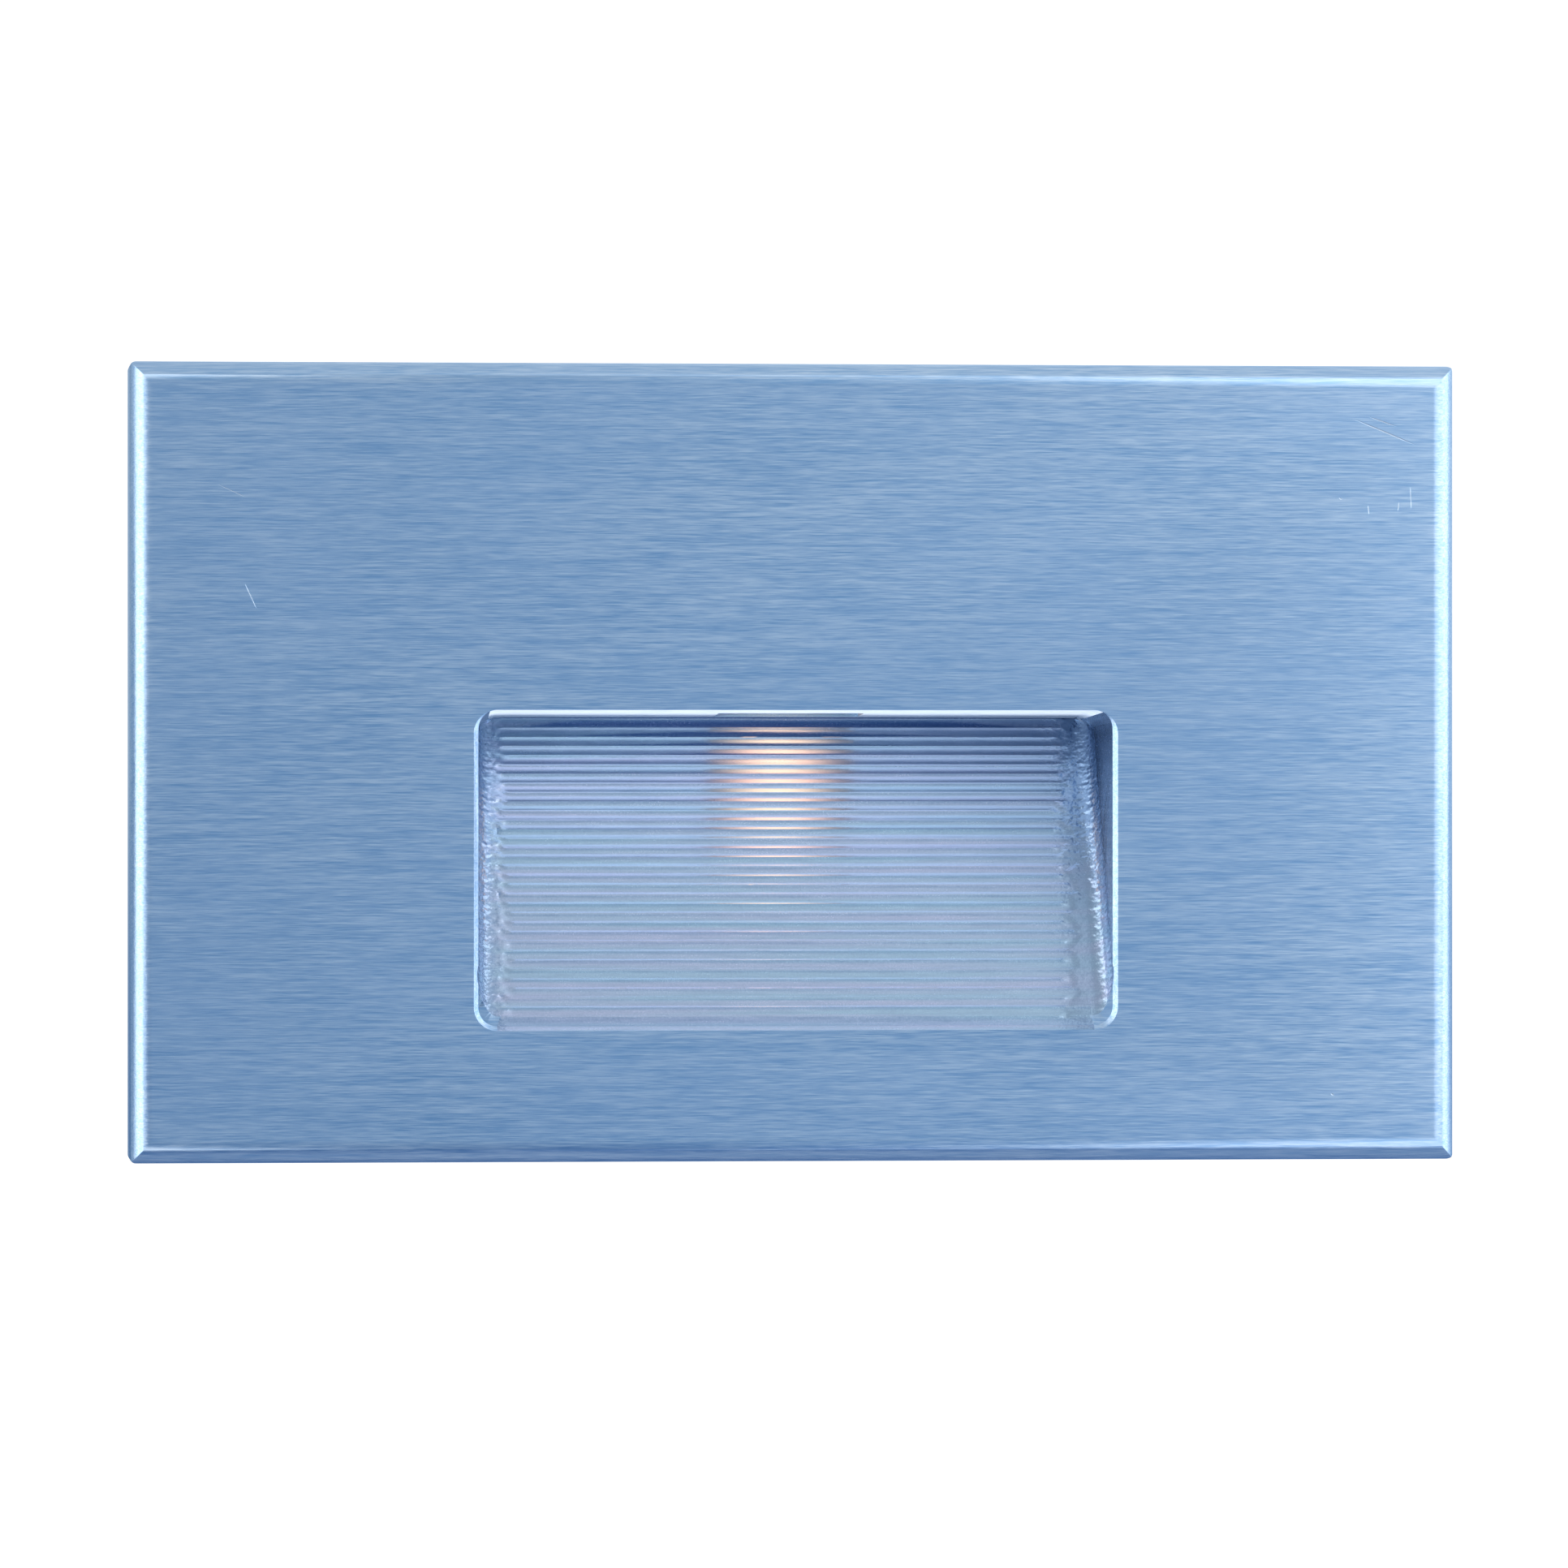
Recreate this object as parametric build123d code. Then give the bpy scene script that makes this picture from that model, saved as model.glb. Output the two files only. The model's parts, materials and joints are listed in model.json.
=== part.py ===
from build123d import *
import os
from math import atan2, cos, degrees, radians, sin, sqrt, tan

# Recessed step light for a horizontal single-gang wall box. All sizes are in millimetres.
# The wall's surface is the plane Y = 0. The room is on the -Y side and the wall box on the +Y side.
# X runs along the wall, Z is up, and the origin is midway between the two box screws.

# Faceplate: one aluminium piece with a skirt all round
plate_width = 127.0
plate_height = 76.2
skirt_depth = 8.0
skirt_wall = 2.4
face_thickness = 3.0
edge_bend_radius = 2.2
corner_radius = 0.7

# Scoop recess in the faceplate, with a sloping floor that runs out at its lower edge
scoop_width = 60.8
scoop_height = 30.1
scoop_top = 5.0
scoop_depth = 14.0
scoop_draft = 2.7
scoop_corner_radius = 1.8
scoop_floor_fillet = 1.9
scoop_wall = 1.6
rim_chamfer = 0.45

# Grooves across the scoop's floor, as a ball-nosed cutter leaves them
groove_count = 33
groove_radius = 1.1
groove_end_margin = 2.1

# Light window in the scoop's roof
window_width = 14.0
window_depth = 6.0
window_setback = 5.5
window_seat = 3.0
lens_border_x = 3.0
lens_border_y = 1.7
lens_thickness = 1.8
lens_gasket_thickness = 0.5
lens_proud = 0.5
lens_frame_thickness = 1.0
lens_frame_ear = 9.0

# LED, its board and the heat spreader above the window
led_board_width = 28.0
led_board_depth = 10.0
led_board_thickness = 1.6
led_board_lift = 2.5
led_package_size = 3.5
led_package_height = 0.7
led_dome_radius = 1.4
thermal_pad_thickness = 0.4
spreader_width = 30.0
spreader_thickness = 3.0
spreader_wing = 7.6
spreader_wing_drop = 3.5
spreader_seal_gap = 0.3

# Rear housing that goes into the wall box
housing_margin = 4.6
housing_height = 45.0
housing_length = 35.5
housing_wall = 1.8
housing_corner_radius = 3.0
housing_gasket_thickness = 1.0
sealing_wall = 2.4
housing_screw_inset_x = 5.7
housing_screw_inset_z = 5.0
tab_margin = 0.2
tab_height = 5.8
tab_thickness = 2.5
cover_thickness = 2.5
cover_gasket_thickness = 0.8
cover_boss_radius = 3.0
cover_boss_length = 16.0
cover_boss_inset_z = 7.5

# Driver board and the posts that carry it
driver_width = 53.0
driver_margin_z = 2.5
driver_thickness = 1.6
post_radius = 2.6
post_spacing = 36.0
post_length = 14.0

# Cable gland in the rear cover
gland_offset = 16.0
gland_thread_radius = 6.0
gland_inner_length = 9.0
gland_outer_length = 7.0
gland_flange_size = 15.0
gland_flange_height = 4.0
gland_washer_thickness = 1.0
gland_nut_wall_end = 3.0
gland_dome_share = 0.55
locknut_thickness = 3.2
cable_radius = 3.1
seal_radius = 4.4
seal_length = 6.6

# Wall gasket and wall bracket
wall_gasket_thickness = 1.5
wall_gasket_width = 3.2
wall_gasket_inset = 0.8
bracket_thickness = 1.2
bracket_end = 8.33
bracket_play_x = 2.0
bracket_play_z = 2.1
lug_width = 12.0
lug_rise = 3.2
lug_clear = 2.1
lug_length = 6.0
lug_inset = 1.67
lug_gap = 0.8
box_screw_margin = 6.67
box_screw_length = 12.0
box_slot_length = 7.0
ground_stud_inset_x = 6.5
ground_stud_inset_z = 10.0
ground_stud_length = 4.4
ground_nut_size = 7.0
ground_nut_height = 2.4
ground_collar = 0.6

# Fasteners: shank radius, head radius, head height
box_screw = (1.75, 3.4, 2.2)
housing_screw = (1.5, 2.75, 1.9)
cover_screw = (1.5, 2.75, 1.9)
driver_screw = (1.25, 2.3, 1.6)
spreader_screw = (1.5, 2.75, 1.9)
led_screw = (1.0, 1.9, 1.2)
lens_screw = (1.0, 1.9, 1.2)
ground_stud_radius = 2.0
set_screw_radius = 1.5
set_screw_length = 4.0
set_screw_socket = 1.5
set_screw_socket_depth = 1.8
thread_grip = 2.4
screw_bite = 6.0
slot_width = 0.7
slot_depth = 0.8
head_round = 0.6

# Clearances, how far a cut runs past the face it starts from, and how closely an edge is picked
thread_clearance = 0.05
hole_clearance = 0.2
seat_clearance = 0.3
lead_clearance = 0.05
through = 1.0
picking = 0.01

# LED leads and the socket they enter
lead_radius = 0.6
lead_start_x = 8.0
lead_pad = 2.0
lead_turn = 1.5
lead_run_in = 3.0
lead_bend_radius = 3.0
lead_rise = 2.0
socket_pitch = 2.5
socket_width = 7.0
socket_depth = 3.0
socket_height = 4.0
socket_chamfer = 0.4

# Parts on the driver board: width, height along Z and depth off the board, or radius and depth.
# Each place is an X and a Z.
terminal_size = (8.0, 15.2, 9.0)
terminal_place = (21.5, 0.0)
terminal_pitch = 5.0
terminal_entry = 3.4
terminal_screw_radius = 1.5
terminal_screw_length = 3.0
fuse_size = (4.0, 8.5, 8.0)
fuse_place = (13.2, -3.0)
varistor_radius = 4.5
varistor_thickness = 4.0
varistor_place = (13.0, 9.5)
film_capacitor_size = (6.0, 13.0, 11.0)
film_capacitor_place = (4.5, 11.0)
bridge_size = (6.4, 8.4, 3.4)
bridge_place = (12.4, -12.4)
chip_size = (5.0, 4.0, 1.6)
chip_place = (-21.5, -4.0)
bulk_capacitor_size = (4.0, 12.0)
bulk_capacitor_places = ((5.0, -13.5), (-4.2, -13.5))
output_capacitor_size = (3.15, 11.0)
output_capacitor_place = (-21.5, 7.0)
choke_size = (4.0, 9.0)
choke_place = (6.4, -2.0)
transformer_place = (-9.0, 1.0)
core_size = (16.0, 13.0, 12.5)
core_leg = 3.4
core_leg_depth = 5.5
core_yoke = 2.0
bobbin_flange = 0.8
bobbin_lip = 0.5

# The rear housing clears the scoop, and the wall bracket clears the housing
housing_width = scoop_width + 2 * housing_margin
housing_screw_x = housing_width / 2 - housing_screw_inset_x
housing_screw_z = housing_height / 2 - housing_screw_inset_z
cover_screw_x = housing_width / 2 - housing_wall - cover_boss_radius
cover_screw_z = housing_height / 2 - cover_boss_inset_z
driver_height = housing_height - 2 * driver_margin_z
bracket_window_width = housing_width + 2 * bracket_play_x
bracket_window_height = housing_height + 2 * bracket_play_z
box_screw_spacing = housing_width + 2 * box_screw_margin
bracket_width = box_screw_spacing + 2 * bracket_end
lug_spacing = box_screw_spacing - 2 * lug_inset
lug_reach = plate_height / 2 - skirt_wall - lug_clear
bracket_height = 2 * (lug_reach - lug_rise)
ground_stud_x = bracket_width / 2 - ground_stud_inset_x
ground_stud_z = bracket_height / 2 - ground_stud_inset_z

# Planes across the wall, from the front face to the rear cover
y_rim = -wall_gasket_thickness
y_face = y_rim - skirt_depth
y_inner = y_face + face_thickness
y_housing = y_rim
y_seal = y_housing - housing_gasket_thickness
y_housing_end = y_housing + housing_length
y_cover = y_housing_end + cover_gasket_thickness
y_cover_back = y_cover + cover_thickness
y_tab = y_housing + tab_thickness
y_driver = y_tab + post_length
y_driver_back = y_driver + driver_thickness
y_scoop_back = y_face + scoop_depth + scoop_wall

window_y = y_face + window_setback + window_depth / 2
y_board_edge = window_y + led_board_depth / 2
y_socket = y_driver - socket_depth
y_gland = y_cover_back + gland_washer_thickness
y_gland_end = y_gland + gland_flange_height + gland_outer_length
set_screw_y = (y_inner + y_rim) / 2

# Heights of the light window's stack, from the scoop's roof upwards
z_roof = scoop_top
z_seat = z_roof + window_seat
z_lens_top = z_seat + lens_proud
z_lens = z_lens_top - lens_thickness
z_lens_gasket = z_lens - lens_gasket_thickness
z_frame_top = z_lens_top + lens_frame_thickness
z_board = z_frame_top + led_board_lift
z_board_top = z_board + led_board_thickness
z_spreader = z_board_top + thermal_pad_thickness
z_spreader_top = z_spreader + spreader_thickness
z_wing = z_spreader - spreader_wing_drop
z_wing_top = housing_height / 2 - sealing_wall - spreader_seal_gap

# The scoop's floor: its slope and the places of its grooves
scoop_bottom = scoop_top - scoop_height
floor_length = sqrt(scoop_depth**2 + scoop_height**2)
floor_tilt = degrees(atan2(scoop_depth, scoop_height))
groove_pitch = floor_length / groove_count
groove_lift = sqrt(groove_radius**2 - (groove_pitch / 2) ** 2)

# The light window and what is fastened over it
lens_width = window_width + 2 * lens_border_x
lens_depth = window_depth + 2 * lens_border_y
frame_depth = lens_depth + 2 * seat_clearance
lens_screw_x = (lens_width + lens_frame_ear) / 2
led_screw_x = (window_width + led_board_width) / 4
spreader_screw_x = (spreader_width + spreader_wing) / 2
spreader_screw_z = (z_wing + z_wing_top) / 2


def span(x0, x1, y0, y1, z0, z1):
    """A block between two corners."""
    middle = Pos((x0 + x1) / 2, (y0 + y1) / 2, (z0 + z1) / 2)
    return middle * Box(abs(x1 - x0), abs(y1 - y0), abs(z1 - z0))


def wide(width, y0, y1, z0, z1, x=0.0):
    """A block of the given width about x."""
    return span(x - width / 2, x + width / 2, y0, y1, z0, z1)


def rod_y(radius, y0, y1, x=0.0, z=0.0):
    """A round bar along Y."""
    return Pos(x, (y0 + y1) / 2, z) * Rot(90, 0, 0) * Cylinder(radius, abs(y1 - y0))


def rod_z(radius, z0, z1, x=0.0, y=0.0):
    """A round bar along Z."""
    return Pos(x, y, (z0 + z1) / 2) * Cylinder(radius, abs(z1 - z0))


def hex_y(across_flats, y0, y1, x=0.0, z=0.0):
    """A hexagonal bar along Y."""
    outline = RegularPolygon(across_flats / 2, 6, major_radius=False)
    return Pos(x, y1, z) * Rot(90, 0, 0) * extrude(outline, abs(y1 - y0))


def panel(width, height, y0, y1, radius=0.0):
    """A flat panel square to Y with rounded corners."""
    outline = RectangleRounded(width, height, radius) if radius else Rectangle(width, height)
    return Pos(0, y1, 0) * Rot(90, 0, 0) * extrude(outline, abs(y1 - y0))


def ring(width, height, border, y0, y1, radius=0.0):
    """A flat rectangular ring square to Y."""
    inner_radius = max(radius - border, 0.0)
    hole = panel(width - 2 * border, height - 2 * border, y0 - through, y1 + through, inner_radius)
    return panel(width, height, y0, y1, radius) - hole


def four(x, z):
    """The four points of a rectangle about the centre."""
    return [(sx * x, sz * z) for sx in (-1, 1) for sz in (-1, 1)]


def merged(solids):
    """One solid from pieces that touch."""
    first, *rest = solids
    for solid in rest:
        first = first + solid
    return first


def pan_screw(size, length, neck=0.0):
    """A slotted pan-head screw whose head rests on Z = 0 and whose shank goes down."""
    shank_radius, head_radius, head_height = size
    head = Pos(0, 0, head_height / 2) * Cylinder(head_radius, head_height)
    head = fillet(head.edges().sort_by(Axis.Z)[-1], head_round * head_height)
    cut = Pos(0, 0, head_height) * Box(3 * head_radius, slot_width, 2 * slot_depth)
    shank = Pos(0, 0, -length / 2) * Cylinder(shank_radius, length)
    if neck:
        shank = shank - Pos(0, 0, -neck / 2) * Cylinder(shank_radius, neck)
        shank = shank + Pos(0, 0, -neck / 2) * Cylinder(shank_radius - hole_clearance, neck)
    return head - cut + shank


def from_back(screw, x, y, z):
    """A screw driven towards the room, with its head on the plane y."""
    return Pos(x, y, z) * Rot(-90, 0, 0) * screw


def from_front(screw, x, y, z):
    """A screw driven towards the wall box, with its head on the plane y."""
    return Pos(x, y, z) * Rot(90, 0, 0) * screw


def at_floor(along, lift):
    """The Y and Z of a point above the scoop's floor, measured along it from its lower edge."""
    tilt = radians(floor_tilt)
    y = y_face + along * sin(tilt) - lift * cos(tilt)
    z = scoop_bottom + along * cos(tilt) + lift * sin(tilt)
    return y, z


def scoop_walls(grow):
    """The scoop's drafted side walls and roof, grown by a wall and run on past the face."""
    size = 2 * scoop_width
    top = scoop_top + grow
    low = scoop_bottom - scoop_height
    body = span(-size, size, y_face - scoop_depth, y_face + 2 * scoop_depth, low, top + size)
    for side in (-1, 1):
        hinge = Pos(side * (scoop_width / 2 + grow), y_face, top) * Rot(0, 0, side * scoop_draft)
        body = body - hinge * Pos(side * size, 0, 0) * Box(2 * size, 4 * size, 4 * size)
    roof = Pos(0, y_face, top) * Rot(-scoop_draft, 0, 0) * Pos(0, 0, size)
    return body - roof * Box(4 * size, 4 * size, 2 * size)


def below_floor(grow):
    """Everything behind the scoop's sloping floor."""
    y, z = at_floor(0, -grow)
    slab = Pos(0, scoop_height, 0) * Box(2 * scoop_width, 2 * scoop_height, 6 * scoop_height)
    return Pos(0, y, z) * Rot(-floor_tilt, 0, 0) * slab


def groove_cut():
    """The grooves across the floor: one bar whose lower side is a row of round-bottomed cuts.

    The bar is taller than the rounding along the roof, so that the roof meets the last groove sharply.
    """
    crests = [at_floor(index * groove_pitch, 0.0) for index in range(groove_count + 1)]
    depth = groove_radius - groove_lift
    arcs = []
    for index in range(groove_count):
        bottom = at_floor((index + 0.5) * groove_pitch, -depth)
        arcs.append(ThreePointArc(crests[index], bottom, crests[index + 1]))
    first = at_floor(0.0, 2 * scoop_floor_fillet)
    last = at_floor(floor_length, 2 * scoop_floor_fillet)
    outline = make_face(arcs + [Polyline(crests[-1], last, first, crests[0])])
    half = scoop_width / 2 - groove_end_margin
    side_view = Plane(origin=(0, 0, 0), x_dir=(0, 1, 0), z_dir=(1, 0, 0))
    return extrude(side_view * outline, half, both=True)


def scoop_pocket():
    """The drafted pocket with round corners and rounded edges along its floor."""
    pocket = scoop_walls(0.0) - below_floor(0.0)
    roof = pocket.faces().sort_by(Axis.Z)[-1]
    corners = roof.edges().sort_by(Axis.X)
    pocket = fillet([corners[0], corners[-1]], scoop_corner_radius)
    tilt = radians(floor_tilt)
    into_floor = Axis((0, 0, 0), (0, cos(tilt), -sin(tilt)))
    floor = pocket.faces().sort_by(into_floor)[-1]
    sides = floor.edges().filter_by(GeomType.LINE).sort_by(Axis.X)
    return fillet([sides[0], sides[-1]], scoop_floor_fillet)


def rim_cut():
    """The chamfer round the scoop's rim. It is flush with the pocket along the roof."""
    rim_height = scoop_height + rim_chamfer
    rim = RectangleRounded(scoop_width + 2 * rim_chamfer, rim_height, scoop_corner_radius + rim_chamfer)
    start = Plane(origin=(0, y_face, scoop_top - rim_height / 2), x_dir=(-1, 0, 0), z_dir=(0, 1, 0))
    return extrude(start * rim, rim_chamfer, taper=45)


def plate_outline():
    """The faceplate's block. Its edges are bent round a radius and mitred at the corners."""
    across = Rectangle(plate_width, 2 * skirt_depth)
    across = Pos(0, y_rim, 0) * fillet(across.vertices().group_by(Axis.Y)[0], edge_bend_radius)
    upright = Rectangle(plate_height, 2 * skirt_depth)
    upright = fillet(upright.vertices().group_by(Axis.Y)[-1], edge_bend_radius)
    side_view = Plane(origin=(0, y_rim, 0), x_dir=(0, 0, 1), z_dir=(1, 0, 0))
    body = extrude(across, plate_height, both=True) & extrude(side_view * upright, plate_width, both=True)
    return body & panel(plate_width, plate_height, y_face, y_rim, corner_radius)


def faceplate():
    """The faceplate with its scoop, its sealing wall, and the places for what is fastened to it."""
    body = plate_outline()
    inner_width = plate_width - 2 * skirt_wall
    inner_height = plate_height - 2 * skirt_wall
    body = body - panel(inner_width, inner_height, y_inner, y_rim + through, corner_radius)
    behind = wide(plate_width, y_inner, y_scoop_back, -plate_height / 2, z_roof + scoop_wall)
    boss = (scoop_walls(scoop_wall) - below_floor(scoop_wall)) & behind
    seat_width = lens_width + 2 * lens_frame_ear
    seat = wide(seat_width, y_inner, y_scoop_back, scoop_bottom / 2, z_seat)
    seat = seat - below_floor(scoop_wall)
    wall = ring(housing_width, housing_height, sealing_wall, y_inner, y_seal, housing_corner_radius)
    body = body + boss + seat + wall
    for x, z in four(housing_screw_x, housing_screw_z):
        body = body + rod_y(housing_screw[1], y_inner, y_seal, x, z)
    for side in (-1, 1):
        x = side * lug_spacing / 2
        low = wide(lug_width, y_inner, y_rim, -inner_height / 2 - through, -lug_reach - lug_gap, x)
        high = wide(lug_width, y_inner, y_rim, lug_reach, inner_height / 2 + through, x)
        body = body + low + high
        top = -lug_reach - lug_gap
        body = body - rod_z(set_screw_radius + thread_clearance, -plate_height, top + through, x, set_screw_y)
    body = body - scoop_pocket() - rim_cut() - (groove_cut() & scoop_walls(0.0))
    y0 = window_y - window_depth / 2
    y1 = window_y + window_depth / 2
    body = body - wide(window_width, y0, y1, z_roof - scoop_wall, z_seat + through)
    rebate_width = lens_width + 2 * hole_clearance
    y0 = window_y - lens_depth / 2 - hole_clearance
    y1 = window_y + lens_depth / 2 + hole_clearance
    body = body - wide(rebate_width, y0, y1, z_lens_gasket, z_seat + through)
    for side in (-1, 1):
        radius = lens_screw[0] + thread_clearance
        body = body - rod_z(radius, z_seat - thread_grip, z_seat + through, side * lens_screw_x, window_y)
        radius = spreader_screw[0] + thread_clearance
        x = side * spreader_screw_x
        body = body - rod_y(radius, y_inner - face_thickness / 2, y_inner + through, x, spreader_screw_z)
    for x, z in four(housing_screw_x, housing_screw_z):
        body = body - rod_y(housing_screw[0] + thread_clearance, y_seal - thread_grip, y_seal + through, x, z)
    return body


def lens_gasket():
    """The rubber ring under the light window."""
    y0 = window_y - lens_depth / 2
    y1 = window_y + lens_depth / 2
    body = wide(lens_width, y0, y1, z_lens_gasket, z_lens)
    hole_width = window_width + 2 * hole_clearance
    y0 = window_y - window_depth / 2 - hole_clearance
    y1 = window_y + window_depth / 2 + hole_clearance
    return body - wide(hole_width, y0, y1, z_lens_gasket - through, z_lens + through)


def light_window():
    """The frosted glass plate that lets the light down into the scoop."""
    y0 = window_y - lens_depth / 2
    y1 = window_y + lens_depth / 2
    body = wide(lens_width, y0, y1, z_lens, z_lens_top)
    return fillet(body.edges().filter_by(Axis.Z), lens_border_y / 2)


def lens_frame():
    """The bridge that clamps the light window down by its two ears."""
    width = lens_width + 2 * lens_frame_ear
    y0 = window_y - frame_depth / 2
    y1 = window_y + frame_depth / 2
    body = wide(width, y0, y1, z_seat, z_frame_top)
    relief = lens_width + 2 * seat_clearance
    body = body - wide(relief, y0 - through, y1 + through, z_seat - through, z_lens_top)
    y0 = window_y - window_depth / 2
    y1 = window_y + window_depth / 2
    body = body - wide(window_width, y0, y1, z_seat, z_frame_top + through)
    for side in (-1, 1):
        radius = lens_screw[0] + hole_clearance
        body = body - rod_z(radius, z_seat - through, z_frame_top + through, side * lens_screw_x, window_y)
    return body


def heat_spreader():
    """The angle that carries the LED board and leads its heat to the faceplate."""
    wing_back = y_inner + spreader_thickness
    body = wide(spreader_width, y_inner, window_y + led_board_depth / 2, z_spreader, z_spreader_top)
    body = body + wide(spreader_width + 2 * spreader_wing, y_inner, wing_back, z_spreader, z_wing_top)
    for side in (-1, 1):
        x = side * (spreader_width + spreader_wing) / 2
        body = body + wide(spreader_wing, y_inner, wing_back, z_wing, z_spreader, x)
        x = side * spreader_screw_x
        radius = spreader_screw[0] + hole_clearance
        body = body - rod_y(radius, y_inner - through, wing_back + through, x, spreader_screw_z)
        radius = led_screw[0] + thread_clearance
        x = side * led_screw_x
        body = body - rod_z(radius, z_spreader - through, z_spreader_top + through, x, window_y)
    return body


def thermal_pad():
    """The soft pad between the LED board and the heat spreader."""
    y0 = window_y - led_board_depth / 2
    y1 = window_y + led_board_depth / 2
    body = wide(led_board_width, y0, y1, z_board_top, z_spreader)
    for side in (-1, 1):
        radius = led_screw[0] + hole_clearance
        body = body - rod_z(radius, z_board_top - through, z_spreader + through, side * led_screw_x, window_y)
    return body


def led_board():
    """The metal-core board of the LED."""
    y0 = window_y - led_board_depth / 2
    y1 = window_y + led_board_depth / 2
    body = wide(led_board_width, y0, y1, z_board, z_board_top)
    for side in (-1, 1):
        radius = led_screw[0] + hole_clearance
        body = body - rod_z(radius, z_board - through, z_board_top + through, side * led_screw_x, window_y)
    return body


def led_package():
    """The LED: a square base under the board with its dome pointing down."""
    half = led_package_size / 2
    low = z_board - led_package_height
    base = wide(led_package_size, window_y - half, window_y + half, low, z_board)
    dome = Pos(0, window_y, low) * Sphere(led_dome_radius)
    below = wide(led_package_size, window_y - half, window_y + half, low - led_dome_radius - through, low)
    return base + (dome & below)


def led_lead(side):
    """One LED lead, from its pad under the LED board in a lazy bend to the driver's socket."""
    start_x = side * lead_start_x
    end_x = side * socket_pitch / 2
    low = z_board - lead_radius - lead_clearance
    high = low + lead_rise
    first = (start_x, y_board_edge - lead_pad, low)
    second = (start_x, y_board_edge + lead_turn, low)
    third = (end_x, y_socket - lead_run_in, high)
    last = (end_x, y_socket, high)
    path = FilletPolyline(first, second, third, last, radius=lead_bend_radius)
    section = Plane(origin=first, z_dir=(0, 1, 0)) * Circle(lead_radius)
    return sweep(section, path=path)


def led_socket():
    """The two-way socket on the front of the driver board."""
    z = z_board - lead_radius - lead_clearance + lead_rise
    body = wide(socket_width, y_socket, y_driver, z - socket_height / 2, z + socket_height / 2)
    return chamfer(body.edges().filter_by(Axis.Y), socket_chamfer)


def cover_land(y0, y1, y2):
    """The rear housing's rim between y0 and y2, with the cover's screw bosses from y1 on."""
    body = ring(housing_width, housing_height, housing_wall, y0, y2, housing_corner_radius)
    for x, z in four(cover_screw_x, cover_screw_z):
        wall_x = (housing_width / 2 - housing_wall / 2) * (1 if x > 0 else -1)
        web = span(x, wall_x, y1, y2, z - cover_boss_radius, z + cover_boss_radius)
        body = body + rod_y(cover_boss_radius, y1, y2, x, z) + web
    return body


def rear_housing():
    """The sleeve that holds the driver, with tabs to the faceplate, posts and cover bosses."""
    body = cover_land(y_housing, y_housing_end - cover_boss_length, y_housing_end)
    inner_x = housing_width / 2 - housing_wall
    inner_z = housing_height / 2 - housing_wall
    for sx, sz in four(1, 1):
        far_x = sx * (inner_x + housing_wall / 2)
        far_z = sz * (inner_z + housing_wall / 2)
        near_x = sx * (post_spacing / 2 - post_radius - tab_margin)
        near_z = sz * (inner_z - tab_height)
        tab = span(near_x, far_x, y_housing, y_tab, near_z, far_z)
        corner = panel(housing_width, housing_height, y_housing, y_tab, housing_corner_radius)
        post = rod_y(post_radius, y_tab, y_driver, sx * post_spacing / 2, sz * housing_screw_z)
        body = body + (tab & corner) + post
    for x, z in four(housing_screw_x, housing_screw_z):
        body = body - rod_y(housing_screw[0] + hole_clearance, y_housing - through, y_tab + through, x, z)
    for x, z in four(post_spacing / 2, housing_screw_z):
        radius = driver_screw[0] + thread_clearance
        body = body - rod_y(radius, y_driver - screw_bite - through, y_driver + through, x, z)
    for x, z in four(cover_screw_x, cover_screw_z):
        radius = cover_screw[0] + thread_clearance
        body = body - rod_y(radius, y_housing_end - screw_bite - through, y_housing_end + through, x, z)
    return body


def housing_gasket():
    """The rubber ring between the faceplate's sealing wall and the rear housing."""
    body = ring(housing_width, housing_height, sealing_wall, y_seal, y_housing, housing_corner_radius)
    for x, z in four(housing_screw_x, housing_screw_z):
        body = body + rod_y(housing_screw[1], y_seal, y_housing, x, z)
    for x, z in four(housing_screw_x, housing_screw_z):
        body = body - rod_y(housing_screw[0] + hole_clearance, y_seal - through, y_housing + through, x, z)
    return body


def cover_gasket():
    """The rubber ring under the rear cover."""
    body = cover_land(y_housing_end, y_housing_end, y_cover)
    for x, z in four(cover_screw_x, cover_screw_z):
        body = body - rod_y(cover_screw[0] + hole_clearance, y_housing_end - through, y_cover + through, x, z)
    return body


def rear_cover():
    """The flat cover that closes the rear housing and carries the cable gland."""
    body = panel(housing_width, housing_height, y_cover, y_cover_back, housing_corner_radius)
    body = fillet(body.faces().sort_by(Axis.Y)[-1].edges(), head_round)
    for x, z in four(cover_screw_x, cover_screw_z):
        body = body - rod_y(cover_screw[0] + hole_clearance, y_cover - through, y_cover_back + through, x, z)
    radius = gland_thread_radius + hole_clearance
    return body - rod_y(radius, y_cover - through, y_cover_back + through, gland_offset)


def gland_body():
    """The cable gland's body: two threads with a hexagon between them, and the seal's pocket."""
    y_inner_end = y_gland - gland_inner_length
    body = rod_y(gland_thread_radius, y_inner_end, y_gland_end, gland_offset)
    body = body + hex_y(gland_flange_size, y_gland, y_gland + gland_flange_height, gland_offset)
    bore = cable_radius + 2 * seat_clearance
    body = body - rod_y(bore, y_inner_end - through, y_gland_end + through, gland_offset)
    pocket = seal_radius + thread_clearance
    return body - rod_y(pocket, y_gland_end - seal_length, y_gland_end + through, gland_offset)


def gland_seal():
    """The rubber sleeve that closes on the cable."""
    body = rod_y(seal_radius, y_gland_end - seal_length, y_gland_end, gland_offset)
    return body - rod_y(cable_radius, y_gland, y_gland_end + through, gland_offset)


def gland_washer():
    """The sealing washer between the gland and the rear cover."""
    body = rod_y(gland_flange_size / 2, y_cover_back, y_gland, gland_offset)
    radius = gland_thread_radius + hole_clearance
    return body - rod_y(radius, y_cover_back - through, y_gland + through, gland_offset)


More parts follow.
